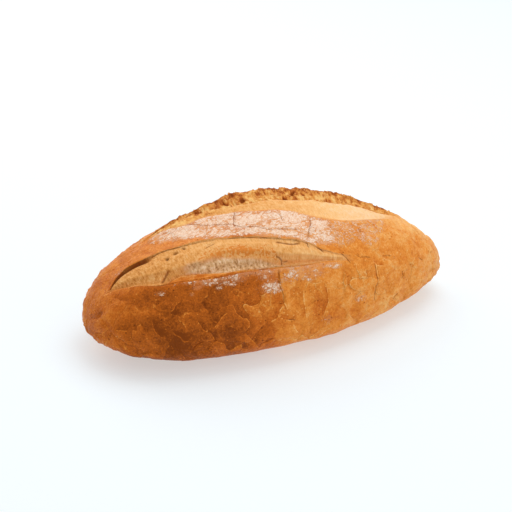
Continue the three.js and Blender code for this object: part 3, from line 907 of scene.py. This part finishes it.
def plate_pattern(net, place, size):
    """Crackle plates: distance in from the edge, lean of the plate, and a value of its own. Size is in mm."""
    at = net.shrink(place, size)
    warp = net.vector("SUBTRACT", net.noise(at, 0.8, 2.0, out=1), HALF)
    at = net.vector("ADD", at, net.scale(warp, 1.9))
    cell = net.cells(at, "F1", 0.9).outputs
    edge = net.cells(at, "DISTANCE_TO_EDGE", 0.9, out=0)
    own = net.scale(net.vector("SUBTRACT", cell["Color"], HALF), 2.0)
    lean = net.vector("DOT_PRODUCT", net.vector("SUBTRACT", at, cell["Position"]), own, out=1)
    return edge, lean, net.add("ShaderNodeSeparateXYZ", cell["Color"])


# ------------------------------------------------------------------ shared shader groups
def crackle(net, given):
    """Plates of crackled crust, large ones with finer ones between."""
    edge, lean, own = plate_pattern(net, given["Place"], given["Plate Size"])
    fine, _, _ = plate_pattern(net, given["Place"], net.times(given["Plate Size"], FINE_PLATES))
    return {"Edge": edge, "Lean": lean, "Own": own, "Fine Edge": fine}


def mottle(net, given):
    """Uneven baking: a broad, a middle and a fine value round zero."""
    at = net.shrink(given["Place"], given["Size"])
    return {name: net.centred(net.noise(at, scale, detail, 0.6))
            for name, scale, detail in (("Broad", 1.0, 2.0), ("Middle", 4.3, 3.0), ("Fine", 14.0, 2.0))}


def flour(net, given):
    """Dusted flour: where it lies and how thick, from how much was dusted on. Lace gathers it in creases."""
    place, amount, lace = given["Place"], given["Amount"], given["Lace"]
    plain_dust = net.inverse(lace)
    brushed = net.vector("MULTIPLY", place, (0.6, 1.0, 1.0))
    patch = net.centred(net.noise(brushed, 0.11, 3.0, 0.6))
    middle = net.centred(net.noise(brushed, 0.4, 3.0, 0.65))
    grain = net.noise(place, 1.1, 3.0, 0.7)
    veins = [net.math("ABSOLUTE", net.centred(net.noise(brushed, scale))) for scale in (0.3, 0.47, 0.12)]
    ridge = net.most(net.ramp(veins[0], 0.0, 0.05, 0.75, -0.6), net.ramp(veins[1], 0.0, 0.05, 0.6, -0.6))
    gap = net.times(net.ramp(veins[2], 0.0, 0.03, -1.1, 0.0), plain_dust)
    level = net.weigh(net.line(amount, 1.2, -0.56), (patch, 2.8), (middle, 2.2), (net.centred(grain), 2.2),
                      (gap, 1.0), (net.times(lace, ridge), 1.7))
    fine = net.line(middle, 0.7, net.noise(place, 1.5, 2.0, 0.6))
    veil = net.times(net.ramp(amount, 0.1, 0.6), net.ramp(fine, 0.38, 0.62, 0.26, 0.66),
                     net.line(lace, -0.8, 1.0))
    cover = net.most(net.times(net.ramp(level, -0.3, 0.4), net.ramp(amount, 0.02, 0.16)), veil)
    crease, _, _ = plate_pattern(net, place, 7.5)
    craze = net.times(net.ramp(crease, 0.01, 0.045, 1.0, 0.0), net.ramp(net.noise(place, 0.12), 0.42, 0.58))
    return {"Cover": cover, "Thickness": net.times(cover, grain), "Craze": net.times(craze, plain_dust)}


def specks(net, given):
    """Small blisters and pinholes: two masks of scattered dots, from the place in mm."""
    at = net.shrink(given["Place"], given["Spacing"])
    cell = net.cells(at, "F1", 1.0).outputs
    split = net.add("ShaderNodeSeparateXYZ", cell["Color"], out=None).outputs
    size = net.line(split[1], 0.16, 0.1)
    dot = net.ramp(net.math("DIVIDE", cell["Distance"], size), 0.6, 1.3, 1.0, 0.0)
    crowd = net.noise(at, 0.14, 2.0, 0.6)
    light = net.math("GREATER_THAN", net.line(crowd, 1.3, split[0]), 1.29)
    dark = net.math("LESS_THAN", net.line(crowd, 0.5, split[0]), 0.42)
    return {"Blister": net.times(dot, light), "Pinhole": net.times(dot, dark)}


def strands(net, given):
    """Drawn-out strands across a cut, from the place on the skin in mm."""
    at = net.shrink(given["Skin"], given["Spacing"])
    drawn, pores = (net.vector("MULTIPLY", at, (1.0, across, 1.0)) for across in (0.3, 0.5))
    return {"Strand": net.centred(net.noise(drawn, 1.0, 4.0, 0.62)),
            "Pores": net.ramp(net.noise(pores, 0.9, 3.0, 0.6), 0.3, 0.44, 1.0, 0.0)}


# Shared groups by name: what makes them, and their inputs.
GROUPS = {
    "Crackle": (crackle, {"Place": "Vector", "Plate Size": 19.0}),
    "Baking Mottle": (mottle, {"Place": "Vector", "Size": 22.0}),
    "Specks": (specks, {"Place": "Vector", "Spacing": 2.4}),
    "Flour Dusting": (flour, {"Place": "Vector", "Amount": 0.5, "Lace": 0.0}),
    "Crumb Strands": (strands, {"Skin": "Vector", "Spacing": 1.6}),
}


def use(net, name, inputs):
    """Outputs of a shared group in a material."""
    build, sockets = GROUPS[name]
    return net.add("ShaderNodeGroup", out=None, inputs=inputs,
                   node_tree=node_tree("Shader", name, sockets, build)).outputs


def new_material(name):
    material = bpy.data.materials.new(name)
    material.use_nodes = True
    material.node_tree.nodes.clear()
    net = Net(material.node_tree)
    shader = net.add("ShaderNodeBsdfPrincipled", out=None)
    net.add("ShaderNodeOutputMaterial", out=None, inputs={"Surface": shader.outputs[0]})
    return material, net, shader


# ------------------------------------------------------------------ finishes
class Finish:
    """What every part of the crust's finish draws on: places, masks and the shared effects."""

    def __init__(self, net, s):
        self.place = net.scale(net.attribute("rest", out=1), 1 / MM)
        self.mask = {k: net.attribute(k) for k in FIELDS}
        here = {"Place": self.place}
        self.crackle = use(net, "Crackle", {**here, "Plate Size": s.plate_size / MM})
        self.mottle = use(net, "Baking Mottle", here)
        self.specks = use(net, "Specks", here)
        self.flour = use(net, "Flour Dusting", {**here, "Lace": self.mask["lace"],
                                                "Amount": net.times(self.mask["flour"], s.flour_amount)})
        self.strand = use(net, "Crumb Strands", {"Skin": net.attribute("skin", out=1)})
        self.ragged = net.noise(net.vector("MULTIPLY", self.place, (1.1, 0.55, 0.8)), 0.42, 4.0, 0.65)
        self.seams(net)

    def seams(self, net):
        """Named cracks and plate edges, then the crackle's finer ones: a painted highlight rim beside a dark
        line, and painted shade on the low side of named edges.
        """
        mask, plate = self.mask, self.crackle
        edge, off = mask["edge"], mask["edge_off"]
        broken = net.ramp(net.noise(self.place, 0.4, 2.0, 0.6), 0.38, 0.6, 0.15)
        from_crack = net.math("ABSOLUTE", mask["crack_off"])
        self.dark = net.times(mask["crack"], net.ramp(from_crack, 0.35, 1.2, 1.0, 0.0))
        # Painted highlight on the raised side of a named edge, painted shade on its low side, and both across
        # its step.
        self.above = net.times(edge, broken, net.ramp(off, -0.1, 0.1), net.ramp(off, 0.25, 0.95, 1.0, 0.0))
        self.below = net.times(edge, net.ramp(off, -0.8, -0.15), net.ramp(off, -0.1, 0.1, 1.0, 0.0))
        self.step = net.times(edge, net.ramp(off, -0.3, 0.3, 1.0, -0.7))
        seen = net.times(mask["plates"], net.ramp(net.noise(self.place, 0.05), 0.34, 0.52))
        # Painted highlight along the raised edge of each crackle plate.
        self.rim = net.times(seen, broken, net.ramp(plate["Edge"], 0.015, 0.055, 1.0, 0.0),
                             net.ramp(plate["Lean"], 0.0, 0.2))
        self.thin = net.times(seen, net.ramp(plate["Edge"], 0.0, 0.018, 1.0, 0.0))
        self.hair = net.times(seen, net.ramp(plate["Fine Edge"], 0.0, 0.045, 1.0, 0.0))


def crust_colour(net, look, s):
    """Bake, mottled; every plate has its own tone, painted shade by how it leans, and a painted highlight on
    its raised edge.
    """
    bake, tint, plate = look.mask["bake"], look.mottle, look.crackle
    # Painted shade: a plate is paler where its lean raises it and darker where it dips.
    high = net.limit(plate["Lean"], LEAN_LIMIT)
    tone = net.line(net.centred(plate["Own"]), 0.22, net.times(high, -0.12))
    # Painted highlights (rim, above, step) on raised plate edges and painted shade (below, step) on their low
    # side.
    value = net.weigh(
        bake, (net.centred(net.noise(look.place, 1.3, 2.0, 0.6)), 0.5), (tint["Broad"], 0.36),
        (net.times(tint["Middle"], net.line(bake, -0.5, 0.8)), 1.0), (tint["Fine"], 0.5),
        (net.times(tone, look.mask["plates"], net.line(bake, 1.3, 0.1)), 1.0),
        (look.rim, -0.4), (look.hair, -0.15), (look.above, -0.34), (look.below, 0.1), (look.step, 0.09),
        (look.specks["Blister"], -0.34), (look.specks["Pinhole"], 0.36))
    return net.colour_ramp(value, (0.0, s.crust_pale), (0.3, s.crust_gold), (0.62, s.crust_brown),
                           (1.0, s.crust_dark))


def dough_colour(net, look, s):
    """Smooth dough of the cuts: golden where it baked, pale where it opened last, toasted at the ridge, with
    painted shade in its pores and hollows.
    """
    bake, ridge, tint, strand = look.mask["bake"], look.mask["toast"], look.mottle, look.strand["Strand"]
    drawn = net.vector("MULTIPLY", look.place, (1.5, 0.5, 0.5))
    grain = net.centred(net.noise(drawn, 0.9, 4.0, 0.75))
    uneven = net.weigh(0.0, (tint["Middle"], 0.8), (strand, 1.1), (grain, 1.5))
    pale = net.weigh(0.83, (bake, -1.0), (net.times(uneven, net.line(bake, 1.1, 0.2)), 1.0))
    dough = net.colour_ramp(pale, (0.0, s.dough_shade), (0.32, s.dough_gold), (0.62, s.dough),
                            (0.95, s.dough_pale))
    burnt = net.weigh(net.times(ridge, 0.62), (strand, 1.3), (tint["Middle"], 1.4), (tint["Fine"], 2.4))
    toast = net.times(net.ramp(burnt, 0.3, 0.6, 0.0, 0.9), net.ramp(ridge, 0.02, 0.25))
    # Painted shade in the pores and holes of the dough.
    pit_shade = net.most(net.times(look.strand["Pores"], 0.12), look.mask["hollow"])
    return net.mix(pit_shade, net.mix(toast, dough, s.toast), s.dough_pit_shade)


def strand_colour(net, look, s):
    """Drawn-out strands, paler on top of each and darker between."""
    tint = look.mottle
    value = net.weigh(0.56, (look.strand["Strand"], 2.2), (tint["Fine"], 1.2), (tint["Middle"], 0.9))
    return net.colour_ramp(value, (0.1, s.fibre_shade), (0.55, s.fibre), (1.0, s.fibre_pale))


def torn_colour(net, look, s):
    """Rough wall: golden lumps, brown hollows deepened by painted shade, and a darker ragged top."""
    lump = net.centred(net.noise(look.place, 0.13, 2.0, 0.6))
    value = net.weigh(0.64, (net.centred(look.ragged), 1.5), (lump, 1.5), (look.mask["high"], -0.34),
                      (look.mask["hollow"], -0.6), (look.mottle["Fine"], 0.4))
    return net.colour_ramp(value, (0.02, s.crust_dark), (0.28, s.torn_shade), (0.54, s.torn),
                           (0.86, s.torn_pale))


def crust_relief(net, look):
    """Fine relief, in millimetres."""
    mask, strand = look.mask, look.strand["Strand"]
    pimple = net.times(net.centred(net.noise(look.place, 0.7, 3.0, 0.55)), net.line(mask["bloom"], -0.5, 1.0))
    height = net.weigh(
        0.0, (pimple, 0.8), (look.rim, 0.14), (look.thin, -0.25), (look.hair, -0.12), (look.dark, -0.4),
        (look.above, 0.08), (look.specks["Blister"], 0.3), (look.specks["Pinhole"], -0.3),
        (look.flour["Thickness"], 0.5),
        (net.times(strand, net.most(mask["fibre"], net.times(mask["bloom"], 0.3))), 0.9),
        (net.times(net.centred(look.ragged), mask["torn"]), 2.4))
    return net.bump(0.85, MM, height)


def baked_crust(s):
    """Crust, dough, strands and torn wall in one finish, with the flour over them."""
    material, net, shader = new_material("baked crust")
    look = Finish(net, s)
    mask, fine = look.mask, look.mottle["Fine"]
    colour = net.mix(mask["bloom"], crust_colour(net, look, s), dough_colour(net, look, s))
    colour = net.mix(mask["fibre"], colour, strand_colour(net, look, s))
    colour = net.mix(mask["torn"], colour, torn_colour(net, look, s))
    colour = net.mix(net.times(look.thin, 0.2), colour, s.crust_dark)
    colour = net.mix(net.times(look.dark, 0.6), colour, s.crack)
    clear = net.inverse(net.most(look.dark, net.times(look.flour["Craze"], 0.75)))
    cover = net.times(look.flour["Cover"], clear, net.line(mask["lace"], -0.38, 1.0))
    thick = net.ramp(net.line(fine, 0.8, look.flour["Thickness"]), 0.26, 0.66)
    matt = net.times(net.most(mask["bloom"], mask["torn"]), 0.75)
    roughness = net.most(net.line(fine, 0.3, 0.46), matt)
    net.feed(shader, {
        "Base Color": net.mix(net.times(cover, 0.92), colour, net.mix(thick, s.flour_shade, s.flour)),
        "Roughness": net.most(roughness, net.times(cover, 0.95)),
        "Specular IOR Level": 0.12,
        "Specular Tint": (1.0, 0.74, 0.48, 1.0),
        "Normal": crust_relief(net, look),
    })
    return material


def loose_flour(s):
    material, net, shader = new_material("loose flour")
    place = net.scale(net.add("ShaderNodeTexCoord", out=3), 1 / MM)
    tint = use(net, "Baking Mottle", {"Place": place, "Size": 6.0})
    net.feed(shader, {
        "Base Color": net.mix(net.line(tint["Broad"], 1.2, 0.3), s.flour_shade, s.flour),
        "Roughness": 0.95,
        "Specular IOR Level": 0.1,
        "Normal": net.bump(0.5, 0.2 * MM, tint["Fine"]),
    })
    return material


def torn_crumb(s):
    material, net, shader = new_material("torn crumb")
    place = net.scale(net.add("ShaderNodeTexCoord", out=3), 1 / MM)
    tint = use(net, "Baking Mottle", {"Place": place, "Size": 9.0})
    value = net.weigh(0.5, (tint["Broad"], 1.4), (tint["Middle"], 0.8))
    net.feed(shader, {
        "Base Color": net.colour_ramp(value, (0.1, s.torn_shade), (0.5, s.torn), (0.9, s.torn_pale)),
        "Roughness": 0.85,
        "Normal": net.bump(0.6, 0.4 * MM, tint["Fine"]),
    })
    return material


def studio_floor(s):
    material, net, shader = new_material("studio floor")
    grain = net.noise(net.add("ShaderNodeTexCoord", out=3), 240.0)
    speckled = tuple(0.985 * level for level in s.floor[:3]) + (1.0,)
    net.feed(shader, {
        "Base Color": net.mix(grain, s.floor, speckled),
        "Roughness": 0.9,
        "Specular IOR Level": 0.0,
        "Emission Color": (1.0, 0.975, 0.955, 1.0),
        "Emission Strength": 0.475,
    })
    return material


# ------------------------------------------------------------------ settings
def length_property(name, description, default):
    return bpy.props.FloatProperty(name=name, description=description, default=default, min=0.0, precision=4,
                                   subtype="DISTANCE", unit="LENGTH")


def power_property(name, description, default):
    return bpy.props.FloatProperty(name=name, description=description, default=default, min=0.0,
                                   subtype="POWER", unit="POWER")


def angle_property(name, description, default):
    return bpy.props.FloatProperty(name=name, description=description, default=default, subtype="ANGLE",
                                   unit="ROTATION")


def colour_property(name, description, default):
    return bpy.props.FloatVectorProperty(name=name, description=description, default=default, size=4,
                                         subtype="COLOR", min=0.0, max=1.0)


def screen_colour(name, description, *levels):
    """Colour given as a screen shows it, 0 to 255, made linear."""
    level = [v / 255 / 12.92 if v / 255 <= 0.04045 else ((v / 255 + 0.055) / 1.055) ** 2.4 for v in levels]
    return colour_property(name, description, (*level, 1.0))


class LoafSettings(bpy.types.PropertyGroup):
    """Sizes and colours of the loaf."""

    length: length_property("Length", "End to end along the loaf", 0.280)
    width: length_property("Width", "Across the loaf at its widest", 0.128)
    crown: length_property("Crown height", "Top of the plain loaf before it settles and opens", 0.0928)
    plate_size: length_property("Plate size", "Usual width of a plate of crackled crust", 0.0165)
    plate_lean: length_property("Plate lean", "How far a plate's edge stands off its neighbour", 0.0015)
    plate_groove: length_property("Plate groove", "How deep the crust dips between plates", 0.0008)
    flour_amount: bpy.props.FloatProperty(name="Flour", description="How much flour was dusted on",
                                          default=1.0, min=0.0, max=2.0, subtype="FACTOR")
    crust_pale: screen_colour("Pale crust", "Crust where it baked least", 244, 182, 106)
    crust_gold: screen_colour("Golden crust", "Crust on the right-hand side", 228, 140, 54)
    crust_brown: screen_colour("Brown crust", "Crust on the front", 197, 102, 28)
    crust_dark: screen_colour("Dark crust", "Crust where it baked most", 128, 60, 12)
    crack: screen_colour("Crack", "Inside a crack", 126, 50, 4)
    dough: screen_colour("Opened dough", "Smooth dough in the cuts", 239, 187, 124)
    dough_pale: screen_colour("Pale dough", "Palest dough in the cuts", 247, 215, 180)
    dough_gold: screen_colour("Golden dough", "Dough that baked longer", 222, 154, 82)
    dough_shade: screen_colour("Shaded dough", "Darker dough in the cuts", 178, 106, 42)
    # Painted shade: colour of the shade in the small holes of the dough.
    dough_pit_shade: screen_colour("Pit", "Small holes in the dough", 118, 70, 22)
    fibre: screen_colour("Strands", "Drawn-out strands in the front cut", 218, 172, 122)
    fibre_pale: screen_colour("Pale strands", "Strands that caught no heat", 238, 204, 168)
    fibre_shade: screen_colour("Strand shade", "Between the strands", 158, 108, 62)
    toast: screen_colour("Toasted ridge", "Ridges that caught the heat", 214, 124, 44)
    torn: screen_colour("Torn dough", "Rough wall of the top cut", 224, 150, 70)
    torn_pale: screen_colour("Pale torn dough", "Palest part of the rough wall", 246, 196, 120)
    torn_shade: screen_colour("Torn shade", "Hollows in the rough wall", 178, 94, 38)
    flour: screen_colour("Flour", "Dusted flour", 248, 226, 205)
    flour_shade: screen_colour("Flour shade", "Flour with crust behind it", 228, 174, 132)
    seed: bpy.props.IntProperty(name="Seed", description="Where the loose pieces fall", default=7, min=0)
    grain_size: length_property("Flour grain", "Width of a clump of flour", 0.00065)
    crumb_size: length_property("Crumb", "Width of a torn crumb", 0.0019)


class StageSettings(bpy.types.PropertyGroup):
    """Floor, light and camera."""

    floor: colour_property("Floor", "Colour of the floor", (0.44, 0.51, 0.555, 1.0))
    room: bpy.props.FloatProperty(name="Room light", description="Even light from all round", default=0.6,
                                  min=0.0)
    key: power_property("Key light", "Power of the large soft light", 4.8)
    back: power_property("Back light", "Power of the wide light behind the loaf", 5.4)
    fill: power_property("Fill light", "Power of the front light", 3.0)
    azimuth: angle_property("Azimuth", "Camera turn round the loaf", -0.418)
    elevation: angle_property("Elevation", "Camera height above the horizon", 0.471)
    distance: length_property("Distance", "Camera to target", 1.0869)
    lens: bpy.props.FloatProperty(name="Lens", description="Focal length in millimetres", default=105.01,
                                  min=1.0)


# ------------------------------------------------------------------ making pieces
def with_tips(values):
    """Values of every ring in one row, then the mean of the first and of the last ring for the two tips."""
    tips = np.stack([values[0].mean(axis=0), values[-1].mean(axis=0)])
    return np.concatenate([values.reshape(-1, *values.shape[2:]), tips])


def mesh_from_grid(name, place, fields, length):
    """Closed mesh from rings of points, with the two ends gathered to a point."""
    rings, count = place.shape[:2]
    tips = np.array([[side * length / MM / 2, 0, TIP_HEIGHT - SETTLE] for side in (-1, 1)])
    verts = np.concatenate([place.reshape(-1, 3), tips]) * MM
    here, after = np.arange(count), (np.arange(count) + 1) % count
    ring = np.arange(rings - 1)[:, None] * count
    corners = (ring + here, ring + after, ring + count + after, ring + count + here)
    quads = np.stack(corners, -1).reshape(-1, 4)
    last = (rings - 1) * count
    left = np.stack([np.full(count, rings * count), after, here], -1)
    right = np.stack([np.full(count, rings * count + 1), last + here, last + after], -1)
    loops = np.concatenate([quads.ravel(), left.ravel(), right.ravel()]).astype(np.int32)
    sizes = np.concatenate([np.full(len(quads), 4), np.full(2 * count, 3)])
    mesh = bpy.data.meshes.new(name)
    mesh.vertices.add(len(verts))
    mesh.vertices.foreach_set("co", verts.ravel().astype(np.float32))
    mesh.loops.add(len(loops))
    mesh.loops.foreach_set("vertex_index", loops)
    mesh.polygons.add(len(sizes))
    mesh.polygons.foreach_set("loop_start", np.concatenate([[0], np.cumsum(sizes)[:-1]]).astype(np.int32))
    mesh.update(calc_edges=True)
    mesh.validate()
    for key in FIELDS:
        layer = mesh.attributes.new(key, "FLOAT", "POINT")
        layer.data.foreach_set("value", with_tips(fields[key]).astype(np.float32))
    rest = np.concatenate([fields["rest"].reshape(-1, 3), tips]) * MM
    for key, values in (("rest", rest), ("skin", with_tips(fields["skin"]))):
        layer = mesh.attributes.new(key, "FLOAT_VECTOR", "POINT")
        layer.data.foreach_set("vector", values.ravel().astype(np.float32))
    mesh.polygons.foreach_set("use_smooth", np.ones(len(mesh.polygons), bool))
    return mesh


def new_object(name, data):
    obj = bpy.data.objects.new(name, data)
    bpy.context.scene.collection.objects.link(obj)
    return obj


def apply_tree(obj, tree, values):
    """Runs one geometry tree on the object and keeps the result as its plain mesh."""
    modifier = obj.modifiers.new(tree.name, "NODES")
    modifier.node_group = tree
    sockets = [i for i in tree.interface.items_tree if i.item_type == "SOCKET" and i.in_out == "INPUT"]
    ids = {i.name: i.identifier for i in sockets}
    for label, value in values.items():
        modifier[ids[label]] = value
    obj.update_tag()
    deps = bpy.context.evaluated_depsgraph_get()
    deps.update()
    mesh = bpy.data.meshes.new_from_object(obj.evaluated_get(deps), preserve_all_data_layers=True,
                                           depsgraph=deps)
    obj.modifiers.remove(modifier)
    old, obj.data = obj.data, mesh
    mesh.name = obj.name
    bpy.data.meshes.remove(old)


def named(net, name, kind="FLOAT"):
    return net.add("GeometryNodeInputNamedAttribute", inputs={"Name": name}, data_type=kind, out="Attribute")


def resting_place(net):
    """Place on the plain loaf, in millimetres."""
    return net.scale(named(net, "rest", "FLOAT_VECTOR"), 1 / MM)


def finished(net, geometry, finish):
    """Real geometry with its finish on, as a tree's result."""
    real = net.add("GeometryNodeRealizeInstances", geometry)
    return {"Geometry": net.add("GeometryNodeSetMaterial", inputs={"Geometry": real, "Material": finish})}


def lean_plates(net, given):
    """Leans and lifts the plates of the crust off the plain form, but nothing below the floor."""
    place, size, lean = resting_place(net), given["Plate Size"], given["Lean"]
    edge, slope, _ = plate_pattern(net, place, size)
    _, fine_slope, _ = plate_pattern(net, place, net.times(size, FINE_PLATES))
    height = net.line(net.times(fine_slope, lean), 0.3, net.times(net.limit(slope, LEAN_LIMIT), lean))
    dome = net.times(net.ramp(edge, 0.0, 0.34, -1.0, 0.0), given["Groove"])
    height = net.math("ADD", net.times(height, net.ramp(edge, 0.0, 0.06)), dome)
    offset = net.scale(net.add("GeometryNodeInputNormal"), net.times(height, named(net, "plates")))
    moved = net.add("GeometryNodeSetPosition", inputs={"Geometry": given["Geometry"], "Offset": offset})
    split = net.add("ShaderNodeSeparateXYZ", net.add("GeometryNodeInputPosition"), out=None).outputs
    level = net.add("ShaderNodeCombineXYZ", split[0], split[1], net.most(split[2], 0.0))
    floored = net.add("GeometryNodeSetPosition", inputs={"Geometry": moved, "Position": level})
    return finished(net, floored, given["Finish"])


def strew_clumps(net, given):
    """Strews small closed clumps over a surface, more where a named mask is stronger."""
    mask = named(net, given["Mask"])
    patchy = net.ramp(net.noise(resting_place(net), 0.3, 2.0, 0.6), 0.42, 0.62)
    height = net.add("ShaderNodeSeparateXYZ", net.add("GeometryNodeInputPosition"), out=2)
    density = net.times(mask, net.ramp(mask, 0.2, 0.8, 0.3), patchy, net.ramp(height, 0.006, 0.014),
                        given["Per Square Metre"])
    points = net.add("GeometryNodeDistributePointsOnFaces", out=None, distribute_method="RANDOM",
                     inputs={"Mesh": given["Geometry"], "Density": density, "Seed": given["Seed"]})
    ball = net.add("GeometryNodeMeshIcoSphere", inputs={"Radius": 0.5, "Subdivisions": given["Facets"]})
    wobble = net.vector("SUBTRACT", net.noise(net.add("GeometryNodeInputPosition"), 2.3, 1.0, out=1), HALF)
    clump = net.add("GeometryNodeSetPosition", inputs={"Geometry": ball, "Offset": net.scale(wobble, 0.75)})
    turn = net.add("FunctionNodeRandomValue", data_type="FLOAT_VECTOR",
                   inputs={"Min": (-0.5, -0.5, 0.0), "Max": (0.5, 0.5, 6.283), "Seed": given["Seed"]})
    lie = net.add("FunctionNodeRotateEuler", points.outputs["Rotation"], turn, rotation_type="EULER",
                  space="LOCAL")
    grow = net.add("FunctionNodeRandomValue", data_type="FLOAT", out=1,
                   inputs={2: 0.4, 3: 1.0, "Seed": given["Seed"]})
    size = net.times(grow, given["Size"])
    scale = net.add("ShaderNodeCombineXYZ", size, size, net.times(size, given["Flatness"]))
    copies = net.add("GeometryNodeInstanceOnPoints", inputs={
        "Points": points.outputs["Points"], "Instance": clump, "Rotation": lie, "Scale": scale})
    return finished(net, copies, given["Finish"])


def strew(name, values):
    """Loose clumps that lie on the crust, made from a copy of it."""
    tree = node_tree("Geometry", "Loose clumps", {
        "Geometry": "Geometry", "Size": 0.001, "Per Square Metre": 1000.0, "Flatness": 0.6, "Facets": 1,
        "Mask": "String", "Seed": 7, "Finish": "Material"}, strew_clumps)
    obj = new_object(name, bpy.data.objects["loaf_crust"].data.copy())
    apply_tree(obj, tree, values)
    if len(obj.data.polygons) == 0:
        raise RuntimeError("nothing was strewn for " + name)
    for key in FIELDS + ("rest", "skin"):
        layer = obj.data.attributes.get(key)
        if layer:
            obj.data.attributes.remove(layer)
    return obj


# ------------------------------------------------------------------ operators
class LOAF_OT_crust(bpy.types.Operator):
    """Build the crust with its cuts, crackle and finish"""

    bl_idname = "loaf.crust"
    bl_label = "Crust"

    def execute(self, context):
        s = context.scene.loaf
        place, fields = loaf_grid(s)
        obj = new_object("loaf_crust", mesh_from_grid("loaf_crust", place, fields, s.length))
        tree = node_tree("Geometry", "Crust crackle", {
            "Geometry": "Geometry", "Plate Size": 19.0, "Lean": 0.0011, "Groove": 0.0007,
            "Finish": "Material"}, lean_plates)
        apply_tree(obj, tree, {"Plate Size": s.plate_size / MM, "Lean": s.plate_lean,
                               "Groove": s.plate_groove, "Finish": baked_crust(s)})
        if not obj.data.materials:
            raise RuntimeError("the crust has no finish")
        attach(obj, BODY)
        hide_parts(NODE)
        return {"FINISHED"}


class LOAF_OT_flour(bpy.types.Operator):
    """Strew clumps of flour over the dusted crust"""

    bl_idname = "loaf.flour"
    bl_label = "Loose flour"

    def execute(self, context):
        s = context.scene.loaf
        obj = strew("loose_flour", {
            "Size": s.grain_size, "Per Square Metre": FLOUR_GRAINS, "Flatness": 0.55, "Facets": 1,
            "Mask": "flour", "Seed": s.seed, "Finish": loose_flour(s)})
        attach(obj, BODY)
        return {"FINISHED"}


class LOAF_OT_crumbs(bpy.types.Operator):
    """Strew torn crumbs along the rough wall of the top cut"""

    bl_idname = "loaf.crumbs"
    bl_label = "Torn crumbs"

    def execute(self, context):
        s = context.scene.loaf
        obj = strew("torn_crumbs", {
            "Size": s.crumb_size, "Per Square Metre": WALL_CRUMBS, "Flatness": 0.75, "Facets": 2,
            "Mask": "torn", "Seed": s.seed + 3, "Finish": torn_crumb(s)})
        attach(obj, BODY)
        return {"FINISHED"}


class LOAF_OT_stage(bpy.types.Operator):
    """Set out the floor, the lights and the camera"""

    bl_idname = "loaf.stage"
    bl_label = "Stage"

    def execute(self, context):
        scene, s = context.scene, context.scene.loaf_stage
        self.add_floor(s)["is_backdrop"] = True
        world = bpy.data.worlds.new("room")
        world.use_nodes = True
        Net(world.node_tree).feed(world.node_tree.nodes["Background"], {
            "Color": (1.0, 1.0, 1.0, 1.0), "Strength": s.room})
        scene.world = world
        for name, (place, size) in LIGHTS.items():
            self.add_light(name, getattr(s, name), place, size)
        scene.camera = self.add_camera(s)
        scene.view_settings.view_transform = "Standard"
        scene.view_settings.look = "None"
        return {"FINISHED"}

    def add_floor(self, s):
        axis = [FLOOR_SIZE * (i / FLOOR_STEPS - 0.5) for i in range(FLOOR_STEPS + 1)]
        verts = [(x, y, 0.0) for y in axis for x in axis]
        row = FLOOR_STEPS + 1
        faces = [(j * row + i, j * row + i + 1, (j + 1) * row + i + 1, (j + 1) * row + i)
                 for j in range(FLOOR_STEPS) for i in range(FLOOR_STEPS)]
        mesh = bpy.data.meshes.new("floor")
        mesh.from_pydata(verts, [], faces)
        mesh.materials.append(studio_floor(s))
        return new_object("floor", mesh)

    def add_light(self, name, power, place, size):
        data = bpy.data.lights.new(name, "AREA")
        data.energy = power
        data.size = size
        light = new_object(name, data)
        light.location = place
        light.rotation_euler = (Vector(LIGHT_AIM) - light.location).to_track_quat("-Z", "Y").to_euler()

    def add_camera(self, s):
        """Camera round the loaf, aimed a little to the left of its middle and above it."""
        turn, lift = s.azimuth, s.elevation
        backward = Vector((math.sin(turn) * math.cos(lift), -math.cos(turn) * math.cos(lift), math.sin(lift)))
        right = (-backward).cross(Vector((0, 0, 1))).normalized()
        up = right.cross(-backward)
        target = Vector(CAMERA_AIM) + right * CAMERA_RIGHT + up * CAMERA_UP
        data = bpy.data.cameras.new("camera")
        data.lens = s.lens
        data.sensor_width = 36.0
        data.clip_start = 0.05
        data.clip_end = 60.0
        camera = new_object("camera", data)
        camera.matrix_world = Matrix.Translation(target + backward * s.distance) @ Matrix(
            (right, up, backward)).transposed().to_4x4()
        return camera


class LOAF_PT_panel(bpy.types.Panel):
    """Lists the pieces of the loaf and its stage"""

    bl_label = "Rustic Loaf"
    bl_idname = "LOAF_PT_panel"
    bl_space_type = "VIEW_3D"
    bl_region_type = "UI"
    bl_category = "Loaf"

    def draw(self, context):
        scene = context.scene
        for group, ids in ((scene.loaf, ("loaf.crust", "loaf.flour", "loaf.crumbs")),
                           (scene.loaf_stage, ("loaf.stage",))):
            box = self.layout.box()
            for name in group.bl_rna.properties.keys():
                if name not in ("rna_type", "name"):
                    box.prop(group, name)
            for idname in ids:
                box.operator(idname)


CLASSES = (
    LoafSettings, StageSettings, LOAF_OT_crust, LOAF_OT_flour, LOAF_OT_crumbs, LOAF_OT_stage, LOAF_PT_panel,
)


def register():
    for item in CLASSES:
        bpy.utils.register_class(item)
    bpy.types.Scene.loaf = bpy.props.PointerProperty(type=LoafSettings)
    bpy.types.Scene.loaf_stage = bpy.props.PointerProperty(type=StageSettings)


def unregister():
    del bpy.types.Scene.loaf_stage
    del bpy.types.Scene.loaf
    for item in reversed(CLASSES):
        bpy.utils.unregister_class(item)


def main():
    register()
    bpy.ops.loaf.stage()
    bpy.ops.loaf.crust()
    bpy.ops.loaf.flour()
    bpy.ops.loaf.crumbs()
    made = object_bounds()
    plain_box = lambda box: [[float(v) for v in corner] for corner in box]
    {"cad": plain_box(CAD_BOX), "visual": plain_box(made)}


if __name__ == "__main__":
    main()
